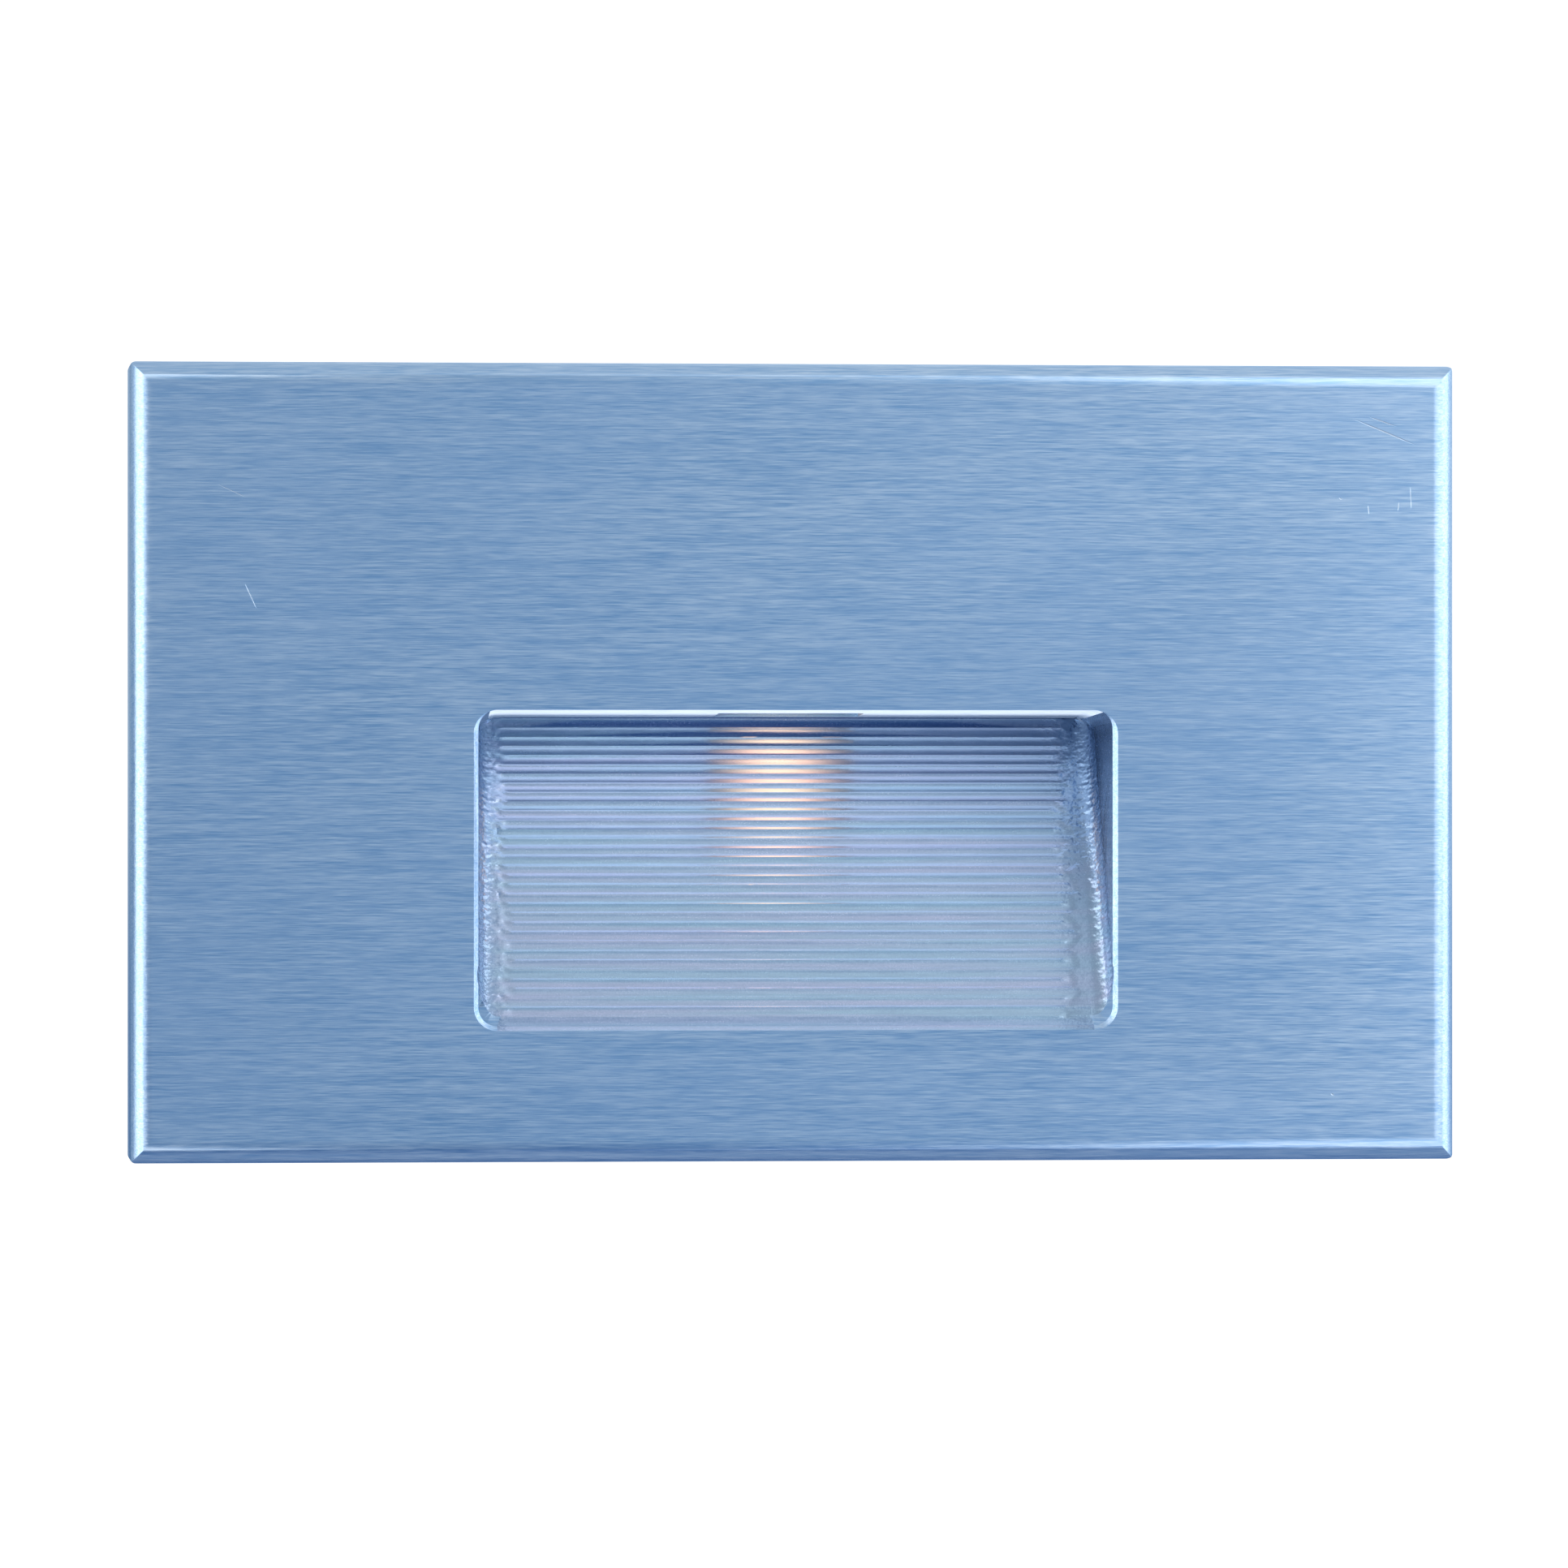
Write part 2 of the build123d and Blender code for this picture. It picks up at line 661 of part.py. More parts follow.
def gland_locknut():
    """The nut that holds the gland from inside the rear housing."""
    body = hex_y(gland_flange_size, y_cover - locknut_thickness, y_cover, gland_offset)
    radius = gland_thread_radius + thread_clearance
    return body - rod_y(radius, y_cover - locknut_thickness - through, y_cover + through, gland_offset)


def gland_nut():
    """The domed nut that squeezes the seal."""
    start = y_gland + gland_flange_height + seat_clearance
    shoulder = y_gland_end + thread_clearance
    end = shoulder + gland_nut_wall_end
    body = hex_y(gland_flange_size, start, end, gland_offset)
    dome = rod_y(gland_flange_size * gland_dome_share, start, end, gland_offset)
    dome = fillet(dome.faces().sort_by(Axis.Y)[-1].edges(), gland_nut_wall_end)
    body = body & dome
    radius = gland_thread_radius + thread_clearance
    body = body - rod_y(radius, start - through, shoulder, gland_offset)
    return body - rod_y(cable_radius + seat_clearance, start - through, end + through, gland_offset)


def driver_board():
    """The circuit board of the driver."""
    body = panel(driver_width, driver_height, y_driver, y_driver_back, head_round)
    for x, z in four(post_spacing / 2, housing_screw_z):
        radius = driver_screw[0] + hole_clearance
        body = body - rod_y(radius, y_driver - through, y_driver_back + through, x, z)
    return body


def on_board(size, place):
    """A block that stands on the driver board: width, height along Z and depth off the board."""
    width, height, depth = size
    x, z = place
    return wide(width, y_driver_back, y_driver_back + depth, z - height / 2, z + height / 2, x)


def can(radius, depth, place):
    """A round part that stands on the driver board."""
    body = rod_y(radius, y_driver_back, y_driver_back + depth, *place)
    return fillet(body.edges().sort_by(Axis.Y)[-1], head_round)


def terminal_places():
    """The places of the terminal block's three poles."""
    x, z = terminal_place
    return [(x, z + step * terminal_pitch) for step in (-1, 0, 1)]


def terminal_block():
    """The three-pole block for the supply, with a clamp screw and a cable entry at each pole."""
    body = on_board(terminal_size, terminal_place)
    top = y_driver_back + terminal_size[2]
    for x, z in terminal_places():
        radius = terminal_screw_radius + hole_clearance
        body = body - rod_y(radius, top - terminal_screw_length, top + through, x, z)
        entry_y = y_driver_back + terminal_entry
        half = terminal_entry / 2
        end_x = x - terminal_size[0]
        body = body - span(end_x, x - half, entry_y - half, entry_y + half, z - half, z + half)
    return body


def terminal_screws():
    """The clamp screws of the terminal block."""
    top = y_driver_back + terminal_size[2]
    screws = []
    for x, z in terminal_places():
        screw = rod_y(terminal_screw_radius, top - terminal_screw_length, top - slot_depth / 2, x, z)
        slot = wide(slot_width, top - slot_depth, top, z - terminal_pitch, z + terminal_pitch, x)
        screws.append(screw - slot)
    return screws


def varistor():
    """The surge-protection disc, standing on its edge."""
    x, z = varistor_place
    y = y_driver_back + varistor_radius + head_round
    disc = Pos(x, y, z) * Rot(0, 90, 0) * Cylinder(varistor_radius, varistor_thickness)
    disc = fillet(disc.edges().filter_by(GeomType.CIRCLE), head_round)
    half = varistor_radius / 2
    return disc + wide(varistor_thickness / 2, y_driver_back, y, z - half, z + half, x)


def transformer_core():
    """The ferrite core: a frame with a middle leg."""
    width, height, depth = core_size
    body = on_board((width, core_leg_depth, depth), transformer_place)
    x, z = transformer_place
    window = (width - 3 * core_leg) / 2
    for side in (-1, 1):
        middle = x + side * (core_leg + window) / 2
        y0 = y_driver_back + core_yoke
        y1 = y_driver_back + depth - core_yoke
        body = body - wide(window, y0, y1, z - height, z + height, middle)
    return body


def around_leg(outer_x, outer_z, y0, y1):
    """A sleeve round the core's middle leg."""
    x, z = transformer_place
    body = wide(outer_x, y0, y1, z - outer_z / 2, z + outer_z / 2, x)
    half = core_leg_depth / 2 + seat_clearance
    return body - wide(core_leg + 2 * seat_clearance, y0 - through, y1 + through, z - half, z + half, x)


def transformer_winding():
    """The taped copper winding round the middle leg."""
    width, height, depth = core_size
    y0 = y_driver_back + core_yoke + bobbin_flange + seat_clearance
    y1 = y_driver_back + depth - core_yoke - bobbin_flange - seat_clearance
    return around_leg(width - 2 * core_leg - 2 * seat_clearance, height, y0, y1)


def transformer_bobbin():
    """The bobbin's two flanges and the feet that carry it on the board."""
    width, height, depth = core_size
    flange_width = width - 2 * core_leg - 2 * hole_clearance
    y0 = y_driver_back + core_yoke + hole_clearance
    y1 = y_driver_back + depth - core_yoke - hole_clearance
    flange_height = height + 2 * bobbin_lip
    lower = around_leg(flange_width, flange_height, y0, y0 + bobbin_flange)
    upper = around_leg(flange_width, flange_height, y1 - bobbin_flange, y1)
    x, z = transformer_place
    feet = []
    for side in (-1, 1):
        near = z + side * (core_leg_depth / 2 + seat_clearance)
        far = z + side * flange_height / 2
        feet.append(wide(flange_width, y_driver_back, y0, near, far, x))
    return [merged([lower] + feet), upper]


def wall_bracket():
    """The steel strap screwed to the wall box, with two lugs above and two below."""
    body = panel(bracket_width, bracket_height, -bracket_thickness, 0, housing_corner_radius)
    front = -bracket_thickness - through
    body = body - panel(bracket_window_width, bracket_window_height, front, through, edge_bend_radius)
    for sx, sz in four(1, 1):
        x = sx * lug_spacing / 2
        root = sz * (bracket_height / 2 - through)
        body = body + wide(lug_width, -bracket_thickness, 0, root, sz * lug_reach, x)
        inner = sz * (lug_reach - bracket_thickness)
        body = body + wide(lug_width, -lug_length, 0, inner, sz * lug_reach, x)
    for sz in (-1, 1):
        tip_z = sz * lug_reach
        tips = body.edges().filter_by(Axis.X).filter_by_position(Axis.Y, -picking, picking)
        tips = tips.filter_by_position(Axis.Z, tip_z - picking, tip_z + picking)
        body = fillet(tips, bracket_thickness)
    for side in (-1, 1):
        slot = SlotOverall(box_slot_length, 2 * (box_screw[0] + hole_clearance))
        x = side * box_screw_spacing / 2
        body = body - Pos(x, through, 0) * Rot(90, 0, 0) * extrude(slot, bracket_thickness + 2 * through)
    radius = ground_stud_radius + thread_clearance
    return body - rod_y(radius, front, through, -ground_stud_x, -ground_stud_z)


def ground_stud():
    """The earthing stud pressed into the bracket."""
    collar = -bracket_thickness - ground_collar
    shank = rod_y(ground_stud_radius, collar - ground_stud_length, 0, -ground_stud_x, -ground_stud_z)
    return shank + rod_y(ground_nut_size / 2, collar, -bracket_thickness, -ground_stud_x, -ground_stud_z)


def ground_nut():
    """The nut that clamps the earth lead on its stud."""
    back = -bracket_thickness - ground_collar
    body = hex_y(ground_nut_size, back - ground_nut_height, back, -ground_stud_x, -ground_stud_z)
    radius = ground_stud_radius + thread_clearance
    front = back - ground_nut_height - through
    return body - rod_y(radius, front, back + through, -ground_stud_x, -ground_stud_z)


def set_screw(side):
    """A socket set screw in the lower skirt, whose flat end bears on the bracket's lug."""
    x = side * lug_spacing / 2
    body = rod_z(set_screw_radius, -lug_reach - set_screw_length, -lug_reach, x, set_screw_y)
    socket = RegularPolygon(set_screw_socket / 2, 6, major_radius=False)
    depth = set_screw_socket_depth + through
    return body - Pos(x, set_screw_y, -lug_reach - set_screw_length - through) * extrude(socket, depth)


def wall_gasket():
    """The foam ring glued to the skirt's back edge."""
    width = plate_width - 2 * wall_gasket_inset
    height = plate_height - 2 * wall_gasket_inset
    return ring(width, height, wall_gasket_width, y_rim, 0, edge_bend_radius)


housing_bite = housing_gasket_thickness + thread_grip - seat_clearance / 2
nodes = {
    "faceplate": faceplate(),
    "wall_gasket": wall_gasket(),
    "lens_gasket": lens_gasket(),
    "light_window": light_window(),
    "lens_frame": lens_frame(),
    "led_board": led_board(),
    "led_package": led_package(),
    "thermal_pad": thermal_pad(),
    "heat_spreader": heat_spreader(),
    "led_lead_red": led_lead(-1),
    "led_lead_black": led_lead(1),
    "led_socket": led_socket(),
    "rear_housing": rear_housing(),
    "housing_gasket": housing_gasket(),
    "cover_gasket": cover_gasket(),
    "rear_cover": rear_cover(),
    "gland_body": gland_body(),
    "gland_seal": gland_seal(),
    "gland_washer": gland_washer(),
    "gland_locknut": gland_locknut(),
    "gland_nut": gland_nut(),
    "driver_board": driver_board(),
    "terminal_block": terminal_block(),
    "terminal_screws": terminal_screws(),
    "fuse": on_board(fuse_size, fuse_place),
    "varistor": varistor(),
    "film_capacitor": on_board(film_capacitor_size, film_capacitor_place),
    "bridge_rectifier": on_board(bridge_size, bridge_place),
    "control_chip": on_board(chip_size, chip_place),
    "bulk_capacitors": [can(*bulk_capacitor_size, place) for place in bulk_capacitor_places],
    "output_capacitor": can(*output_capacitor_size, output_capacitor_place),
    "output_choke": can(*choke_size, choke_place),
    "transformer_core": transformer_core(),
    "transformer_winding": transformer_winding(),
    "transformer_bobbin": transformer_bobbin(),
    "wall_bracket": wall_bracket(),
    "ground_stud": ground_stud(),
    "ground_nut": ground_nut(),
    "set_screw_left": set_screw(-1),
    "set_screw_right": set_screw(1),
    "box_screws": [
        from_front(
            pan_screw(box_screw, bracket_thickness + box_screw_length, bracket_thickness),
            side * box_screw_spacing / 2,
            -bracket_thickness,
            0,
        )
        for side in (-1, 1)
    ],
    "housing_screws": [
        from_back(pan_screw(housing_screw, tab_thickness + housing_bite), x, y_tab, z)
        for x, z in four(housing_screw_x, housing_screw_z)
    ],
    "cover_screws": [
        from_back(pan_screw(cover_screw, y_cover_back - y_housing_end + screw_bite), x, y_cover_back, z)
        for x, z in four(cover_screw_x, cover_screw_z)
    ],
    "driver_screws": [
        from_back(pan_screw(driver_screw, driver_thickness + screw_bite), x, y_driver_back, z)
        for x, z in four(post_spacing / 2, housing_screw_z)
    ],
    "spreader_screws": [
        from_back(
            pan_screw(spreader_screw, spreader_thickness + face_thickness / 2 - hole_clearance),
            side * spreader_screw_x,
            y_inner + spreader_thickness,
            spreader_screw_z,
        )
        for side in (-1, 1)
    ],
    "led_screws": [
        Pos(side * led_screw_x, window_y, z_board)
        * Rot(180, 0, 0)
        * pan_screw(led_screw, z_spreader - z_board + spreader_thickness)
        for side in (-1, 1)
    ],
    "lens_screws": [
        Pos(side * lens_screw_x, window_y, z_frame_top)
        * pan_screw(lens_screw, z_frame_top - z_seat + thread_grip - hole_clearance)
        for side in (-1, 1)
    ],
}

os.makedirs("parts", exist_ok=True)
for name, shape in nodes.items():
    pieces = shape if isinstance(shape, list) else [shape]
    solids = [solid for piece in pieces for solid in piece.solids()]
    export_step(solids[0] if len(solids) == 1 else Compound(children=solids), f"parts/{name}.step")
    print(name, len(solids), round(sum(solid.volume for solid in solids), 2))
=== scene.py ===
# %% [markdown]
# # A recessed step light, dressed for its portrait
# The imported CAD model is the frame: every piece has its size and place there already. This lesson
# gives those pieces their surfaces, cuts the milled recess in full detail, and sets up the studio.

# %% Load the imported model
import json
from math import atan2, cos, hypot, pi, radians, sin, sqrt, tan
from random import Random

import bpy
import mathutils.noise
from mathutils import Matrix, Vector

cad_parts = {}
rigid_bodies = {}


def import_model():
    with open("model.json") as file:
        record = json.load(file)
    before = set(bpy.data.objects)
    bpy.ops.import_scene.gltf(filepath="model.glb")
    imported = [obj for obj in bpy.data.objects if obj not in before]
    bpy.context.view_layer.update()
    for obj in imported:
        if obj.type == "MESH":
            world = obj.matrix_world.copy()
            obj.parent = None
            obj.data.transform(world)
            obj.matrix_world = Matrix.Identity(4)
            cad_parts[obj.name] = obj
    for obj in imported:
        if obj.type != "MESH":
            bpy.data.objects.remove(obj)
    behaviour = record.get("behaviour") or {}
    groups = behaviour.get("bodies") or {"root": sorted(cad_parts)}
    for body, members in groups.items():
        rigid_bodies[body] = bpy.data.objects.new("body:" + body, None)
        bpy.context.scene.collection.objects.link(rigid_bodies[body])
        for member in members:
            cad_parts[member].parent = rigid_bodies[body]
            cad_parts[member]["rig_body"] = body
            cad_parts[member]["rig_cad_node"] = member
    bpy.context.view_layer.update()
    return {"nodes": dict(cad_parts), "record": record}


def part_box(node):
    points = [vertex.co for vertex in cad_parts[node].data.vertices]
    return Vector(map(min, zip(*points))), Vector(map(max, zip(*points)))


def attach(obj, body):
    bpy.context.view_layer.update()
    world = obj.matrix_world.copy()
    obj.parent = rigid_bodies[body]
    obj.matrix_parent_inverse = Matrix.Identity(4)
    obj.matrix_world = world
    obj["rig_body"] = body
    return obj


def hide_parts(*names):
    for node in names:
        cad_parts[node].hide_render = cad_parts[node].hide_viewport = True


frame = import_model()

MM = 0.001
nodes = frame["nodes"]

# %% [markdown]
# ## The camera
# The light was photographed from a little less than a metre, somewhat to the left of straight on, so the
# right wall of the recess shows and the left one doesn't. A long lens gives the flat look. The camera
# is level, and it aims a little below and left of the plate's middle, which sets the framing.

# %% Camera
picture_width_px = 1932
plate_low, plate_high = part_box("faceplate")
face_y = plate_low.y
plate_middle = (plate_low + plate_high) / 2

camera_distance = 900 * MM
camera_side_angle = radians(5.3)
view_width = 149.5 * MM
px = view_width / picture_width_px
aim_left = 16.0 * px
aim_below = 26.5 * px
camera_near = 10 * MM

camera_data = bpy.data.cameras.new("camera")
camera = bpy.data.objects.new("camera", camera_data)
bpy.context.scene.collection.objects.link(camera)
bpy.context.scene.camera = camera
aim = Vector((plate_middle.x - aim_left, face_y, plate_middle.z - aim_below))
camera.location = aim + Vector((-tan(camera_side_angle), -1.0, 0.0)) * camera_distance
camera.rotation_euler = (aim - camera.location).to_track_quat("-Z", "Y").to_euler()
camera_data.lens = camera_data.sensor_width * (aim - camera.location).length / view_width
camera_data.clip_start = camera_near
print("lens", round(camera_data.lens, 1), "mm, one pixel is", round(px / MM, 4), "mm")

# %% [markdown]
# ## The studio
# Brushed metal shows mostly what stands round it. Two broad white softboxes, one at each side, draw the
# white lines along the plate's side bends. The rest of the room is a cold sky: dark blue below, a bright
# band at the plate's height, a darker gap over the band and a soft pale blue above, all of it brighter
# towards the right. So the upper bend is pale and the lower one is deep blue, as in the photograph. The
# camera itself sees plain white behind the plate, and a plain pale floor lies well below the picture.

# %% Floor and backdrop
floor_drop = 1500 * MM
floor_size = 1000 * MM
floor_colour = (0.62, 0.68, 0.77)
floor_roughness = 0.9

bpy.ops.object.select_all(action="DESELECT")
bpy.ops.mesh.primitive_plane_add(size=floor_size, location=(0, 0, -floor_drop))
floor = bpy.context.object
floor.name = "floor"

pale = bpy.data.materials.new("pale_floor")
pale.use_nodes = True
pale_shader = pale.node_tree.nodes["Principled BSDF"]
pale_shader.inputs["Base Color"].default_value = (*floor_colour, 1)
pale_shader.inputs["Roughness"].default_value = floor_roughness
floor.data.materials.append(pale)

# %% World: white for the camera, a cold room for the metal
scene = bpy.context.scene
scene.view_settings.view_transform = "Standard"
backdrop_white = 1.1

world = bpy.data.worlds.new("studio")
scene.world = world
world.use_nodes = True
sky = world.node_tree
sky.nodes.clear()


def sky_ramp(value, stops):
    """A colour that follows one part of the view direction through stops of (value, colour)."""
    low, high = -1.0, 1.0
    reach = sky.nodes.new("ShaderNodeMapRange")
    reach.inputs["From Min"].default_value = low
    reach.inputs["From Max"].default_value = high
    ramp = sky.nodes.new("ShaderNodeValToRGB")
    sky.links.new(value, reach.inputs["Value"])
    sky.links.new(reach.outputs[0], ramp.inputs[0])
    elements = ramp.color_ramp.elements
    while len(elements) < len(stops):
        elements.new(0.5)
    for element, (place, colour) in zip(elements, stops):
        element.position = (place - low) / (high - low)
        element.color = (*colour, 1)
    return ramp.outputs[0]


sky_direction = sky.nodes.new("ShaderNodeTexCoord")
sky_split = sky.nodes.new("ShaderNodeSeparateXYZ")
sky.links.new(sky_direction.outputs["Generated"], sky_split.inputs[0])
by_height = sky_ramp(sky_split.outputs["Z"], [
    (-1.0, (0.03, 0.08, 0.25)),
    (-0.7, (0.06, 0.15, 0.35)),
    (-0.2, (0.12, 0.25, 0.44)),
    (-0.12, (0.15, 0.28, 0.47)),
    (-0.08, (0.52, 0.68, 0.84)),
    (0.08, (0.54, 0.68, 0.82)),
    (0.14, (0.32, 0.45, 0.60)),
    (0.55, (0.60, 0.69, 0.80)),
    (1.0, (0.57, 0.66, 0.77)),
])
by_side = sky_ramp(sky_split.outputs["X"], [
    (-0.3, (0.80, 0.80, 0.80)),
    (0.0, (0.88, 0.89, 0.90)),
    (0.2, (1.22, 1.19, 1.16)),
    (0.5, (1.25, 1.22, 1.20)),
])
sky_tone = sky.nodes.new("ShaderNodeMix")
sky_tone.data_type = "RGBA"
sky_tone.blend_type = "MULTIPLY"
sky_tone.inputs[0].default_value = 1.0
sky.links.new(by_height, sky_tone.inputs[6])
sky.links.new(by_side, sky_tone.inputs[7])
sky_light = sky.nodes.new("ShaderNodeBackground")
sky_white = sky.nodes.new("ShaderNodeBackground")
sky_white.inputs["Strength"].default_value = backdrop_white
sky_rays = sky.nodes.new("ShaderNodeLightPath")
sky_mix = sky.nodes.new("ShaderNodeMixShader")
sky_out = sky.nodes.new("ShaderNodeOutputWorld")
sky.links.new(sky_tone.outputs[2], sky_light.inputs["Color"])
sky.links.new(sky_rays.outputs["Is Camera Ray"], sky_mix.inputs[0])
sky.links.new(sky_light.outputs[0], sky_mix.inputs[1])
sky_white.inputs["Color"].default_value = (1, 1, 1, 1)
sky.links.new(sky_white.outputs[0], sky_mix.inputs[2])
sky.links.new(sky_mix.outputs[0], sky_out.inputs["Surface"])


# %% Softboxes
box_distance = 0.8  # metres, as are the widths
box_height = 1.0


def softbox(name, azimuth, width, radiance):
    """A rectangular light level with the plate, facing it. Azimuth 0 is in front, and positive is right."""
    light = bpy.data.lights.new(name, "AREA")
    light.shape = "RECTANGLE"
    light.size = width
    light.size_y = box_height
    light.energy = radiance * pi * width * box_height
    holder = bpy.data.objects.new(name, light)
    turn = radians(azimuth)
    away = Vector((sin(turn), -cos(turn), 0.0))
    holder.location = plate_middle + away * box_distance
    holder.rotation_euler = away.to_track_quat("Z", "Y").to_euler()
    bpy.context.scene.collection.objects.link(holder)
    print(name, "at", azimuth, "degrees,", width, "m wide")


softbox("left_box", azimuth=-60, width=1.15, radiance=1.6)
softbox("right_box", azimuth=62, width=1.35, radiance=1.2)


# %% [markdown]
# ## How a surface is made
# Each finish starts from one shader and gets its grain from noise in the object's own coordinates, in
# metres, so that a pattern has its real size and stays put when a piece moves. The helpers below are
# the few steps that every finish shares: a stretched space, noise, a range, a colour, a gloss and a relief.

# %% Helpers for finishes
noise_span = (0.3, 0.7)  # the range that roughness and wear take from a noise
mid_tones = (0.35, 0.65)  # a narrower one, for more contrast


def new_finish(name, metallic, roughness):
    """A material with one shader, and its node tree."""
    material = bpy.data.materials.new(name)
    material.use_nodes = True
    tree = material.node_tree
    shader = tree.nodes["Principled BSDF"]
    shader.inputs["Metallic"].default_value = metallic
    shader.inputs["Roughness"].default_value = roughness
    return material, tree, shader


def space(tree, feature, turn=(0, 0, 0)):
    """Object coordinates stretched so that noise has features of these sizes in metres."""
    coordinates = tree.nodes.new("ShaderNodeTexCoord")
    mapping = tree.nodes.new("ShaderNodeMapping")
    mapping.inputs["Rotation"].default_value = turn
    mapping.inputs["Scale"].default_value = [1 / size for size in feature]
    tree.links.new(coordinates.outputs["Object"], mapping.inputs["Vector"])
    return mapping.outputs[0]


def noise(tree, vector, detail=3.0, rough=0.5, twist=0.0):
    """Soft noise between 0 and 1."""
    node = tree.nodes.new("ShaderNodeTexNoise")
    node.inputs["Scale"].default_value = 1.0
    node.inputs["Detail"].default_value = detail
    node.inputs["Roughness"].default_value = rough
    node.inputs["Distortion"].default_value = twist
    tree.links.new(vector, node.inputs["Vector"])
    return node.outputs[0]


def cells(tree, vector, feature="F1"):
    """Distance to the nearest of scattered points."""
    node = tree.nodes.new("ShaderNodeTexVoronoi")
    node.feature = feature
    node.inputs["Scale"].default_value = 1.0
    tree.links.new(vector, node.inputs["Vector"])
    return node.outputs["Distance"]


def split(tree, vector, axis):
    """One of a vector's three numbers."""
    node = tree.nodes.new("ShaderNodeSeparateXYZ")
    tree.links.new(vector, node.inputs[0])
    return node.outputs[axis]


def ranged(tree, value, low, high, new_low, new_high, smooth=False):
    """The value's range low to high mapped to a new range."""
    node = tree.nodes.new("ShaderNodeMapRange")
    if smooth:
        node.interpolation_type = "SMOOTHSTEP"
    node.inputs["From Min"].default_value = low
    node.inputs["From Max"].default_value = high
    node.inputs["To Min"].default_value = new_low
    node.inputs["To Max"].default_value = new_high
    tree.links.new(value, node.inputs["Value"])
    return node.outputs[0]


def place_in_mm(tree, axis):
    """Where a point is along one of the object's own axes, in millimetres."""
    return split(tree, space(tree, (MM,) * 3), axis)


def arithmetic(tree, operation, first, second=0.0):
    """One step of arithmetic on two values, each a socket or a number."""
    node = tree.nodes.new("ShaderNodeMath")
    node.operation = operation
    for socket, value in zip(node.inputs, (first, second)):
        if isinstance(value, (int, float)):
            socket.default_value = value
        else:
            tree.links.new(value, socket)
    return node.outputs[0]


def weighted(tree, *shares):
    """The sum of values, each given with its share."""
    total = None
    for value, share in shares:
        part = arithmetic(tree, "MULTIPLY", value, share)
        total = part if total is None else arithmetic(tree, "ADD", total, part)
    return total


def stretched(tree, value):
    """The middle values of a noise stretched to 0 to 1."""
    return ranged(tree, value, *mid_tones, 0.0, 1.0)


def gloss(tree, shader, value, smoothest, roughest):
    """Lets the roughness follow a noise."""
    tree.links.new(ranged(tree, value, *noise_span, smoothest, roughest), shader.inputs["Roughness"])


def tint(tree, factor, first, second):
    """A colour between two, each an RGB tuple or a socket."""
    node = tree.nodes.new("ShaderNodeMix")
    node.data_type = "RGBA"
    tree.links.new(factor, node.inputs[0])
    for socket, colour in ((node.inputs[6], first), (node.inputs[7], second)):
        if isinstance(colour, tuple):
            socket.default_value = (*colour, 1)
        else:
            tree.links.new(colour, socket)
    return node.outputs[2]


def relief(tree, shader, height, depth):
    """Bump of a real depth in metres."""
    node = tree.nodes.new("ShaderNodeBump")
    node.inputs["Distance"].default_value = depth
    tree.links.new(height, node.inputs["Height"])
    tree.links.new(node.outputs[0], shader.inputs["Normal"])


def worn_edges(tree):
    """1 on sharp outer edges, 0 elsewhere."""
    blunt, sharp = 0.52, 0.60
    node = tree.nodes.new("ShaderNodeNewGeometry")
    return ranged(tree, node.outputs["Pointiness"], blunt, sharp, 0.0, 1.0)


def scratch(tree, start, end, width):
    """1 along a thin mark with tapered ends, from one (x, z) place on the plate to another, in mm."""
    core = 0.5
    run = (end[0] - start[0], end[1] - start[1])
    middle = ((start[0] + end[0]) / 2 * MM, 0, (start[1] + end[1]) / 2 * MM)
    coordinates = tree.nodes.new("ShaderNodeTexCoord")
    mapping = tree.nodes.new("ShaderNodeMapping")
    mapping.vector_type = "TEXTURE"
    mapping.inputs["Location"].default_value = middle
    mapping.inputs["Rotation"].default_value = (0, -atan2(run[1], run[0]), 0)
    mapping.inputs["Scale"].default_value = (hypot(*run) / 2 * MM, 1, width / 2 * MM)
    tree.links.new(coordinates.outputs["Object"], mapping.inputs["Vector"])
    span = tree.nodes.new("ShaderNodeVectorMath")
    span.operation = "LENGTH"
    tree.links.new(mapping.outputs[0], span.inputs[0])
    return ranged(tree, span.outputs["Value"], core, 1.0, 1.0, 0.0)


def dress(material, slot_name):
    """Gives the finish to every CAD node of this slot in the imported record."""
    members = [part["node"] for part in frame["record"]["subparts"] if part["material_slot"] == slot_name]
    for member in members:
        mesh = nodes[member].data
        mesh.materials.clear()
        mesh.materials.append(material)
    print(slot_name, "on", ", ".join(members))
    return material


def dress_all(make, looks):
    """Makes a finish for each slot from its look, and gives it to the slot's nodes."""
    for slot_name, look in looks.items():
        dress(make(slot_name, *look), slot_name)


# %% [markdown]
# ## The brushed face
# The plate is brushed along its length. The finest lines are about a seventh of a millimetre wide and
# three long, and wider, longer ones lie among them, so noise is squeezed that much in height. It moves
# the tone, the roughness and a very shallow relief together, which is what real brushing does. A broad,
# faint haze lies over it, with nine scratches and nicks where the photograph shows the clearest ones.

# %% Brushed aluminium with a cold cast
# Each mark has its two ends as (x, z) and its width, all in millimetres from the plate's middle.
handling_marks = [
    ((53.5, 33.0), (59.8, 30.4), 0.17),
    ((55.0, 33.2), (57.9, 32.2), 0.14),
    ((55.0, 24.7), (55.1, 23.8), 0.12),
    ((58.0, 25.0), (57.9, 24.1), 0.10),
    ((59.1, 26.5), (59.2, 24.3), 0.09),
    ((52.2, 25.4), (52.5, 25.2), 0.16),
    ((51.4, -31.7), (51.7, -31.9), 0.18),
    ((-55.2, 26.4), (-52.4, 25.1), 0.07),
    ((-52.6, 17.0), (-51.5, 14.6), 0.07),
]


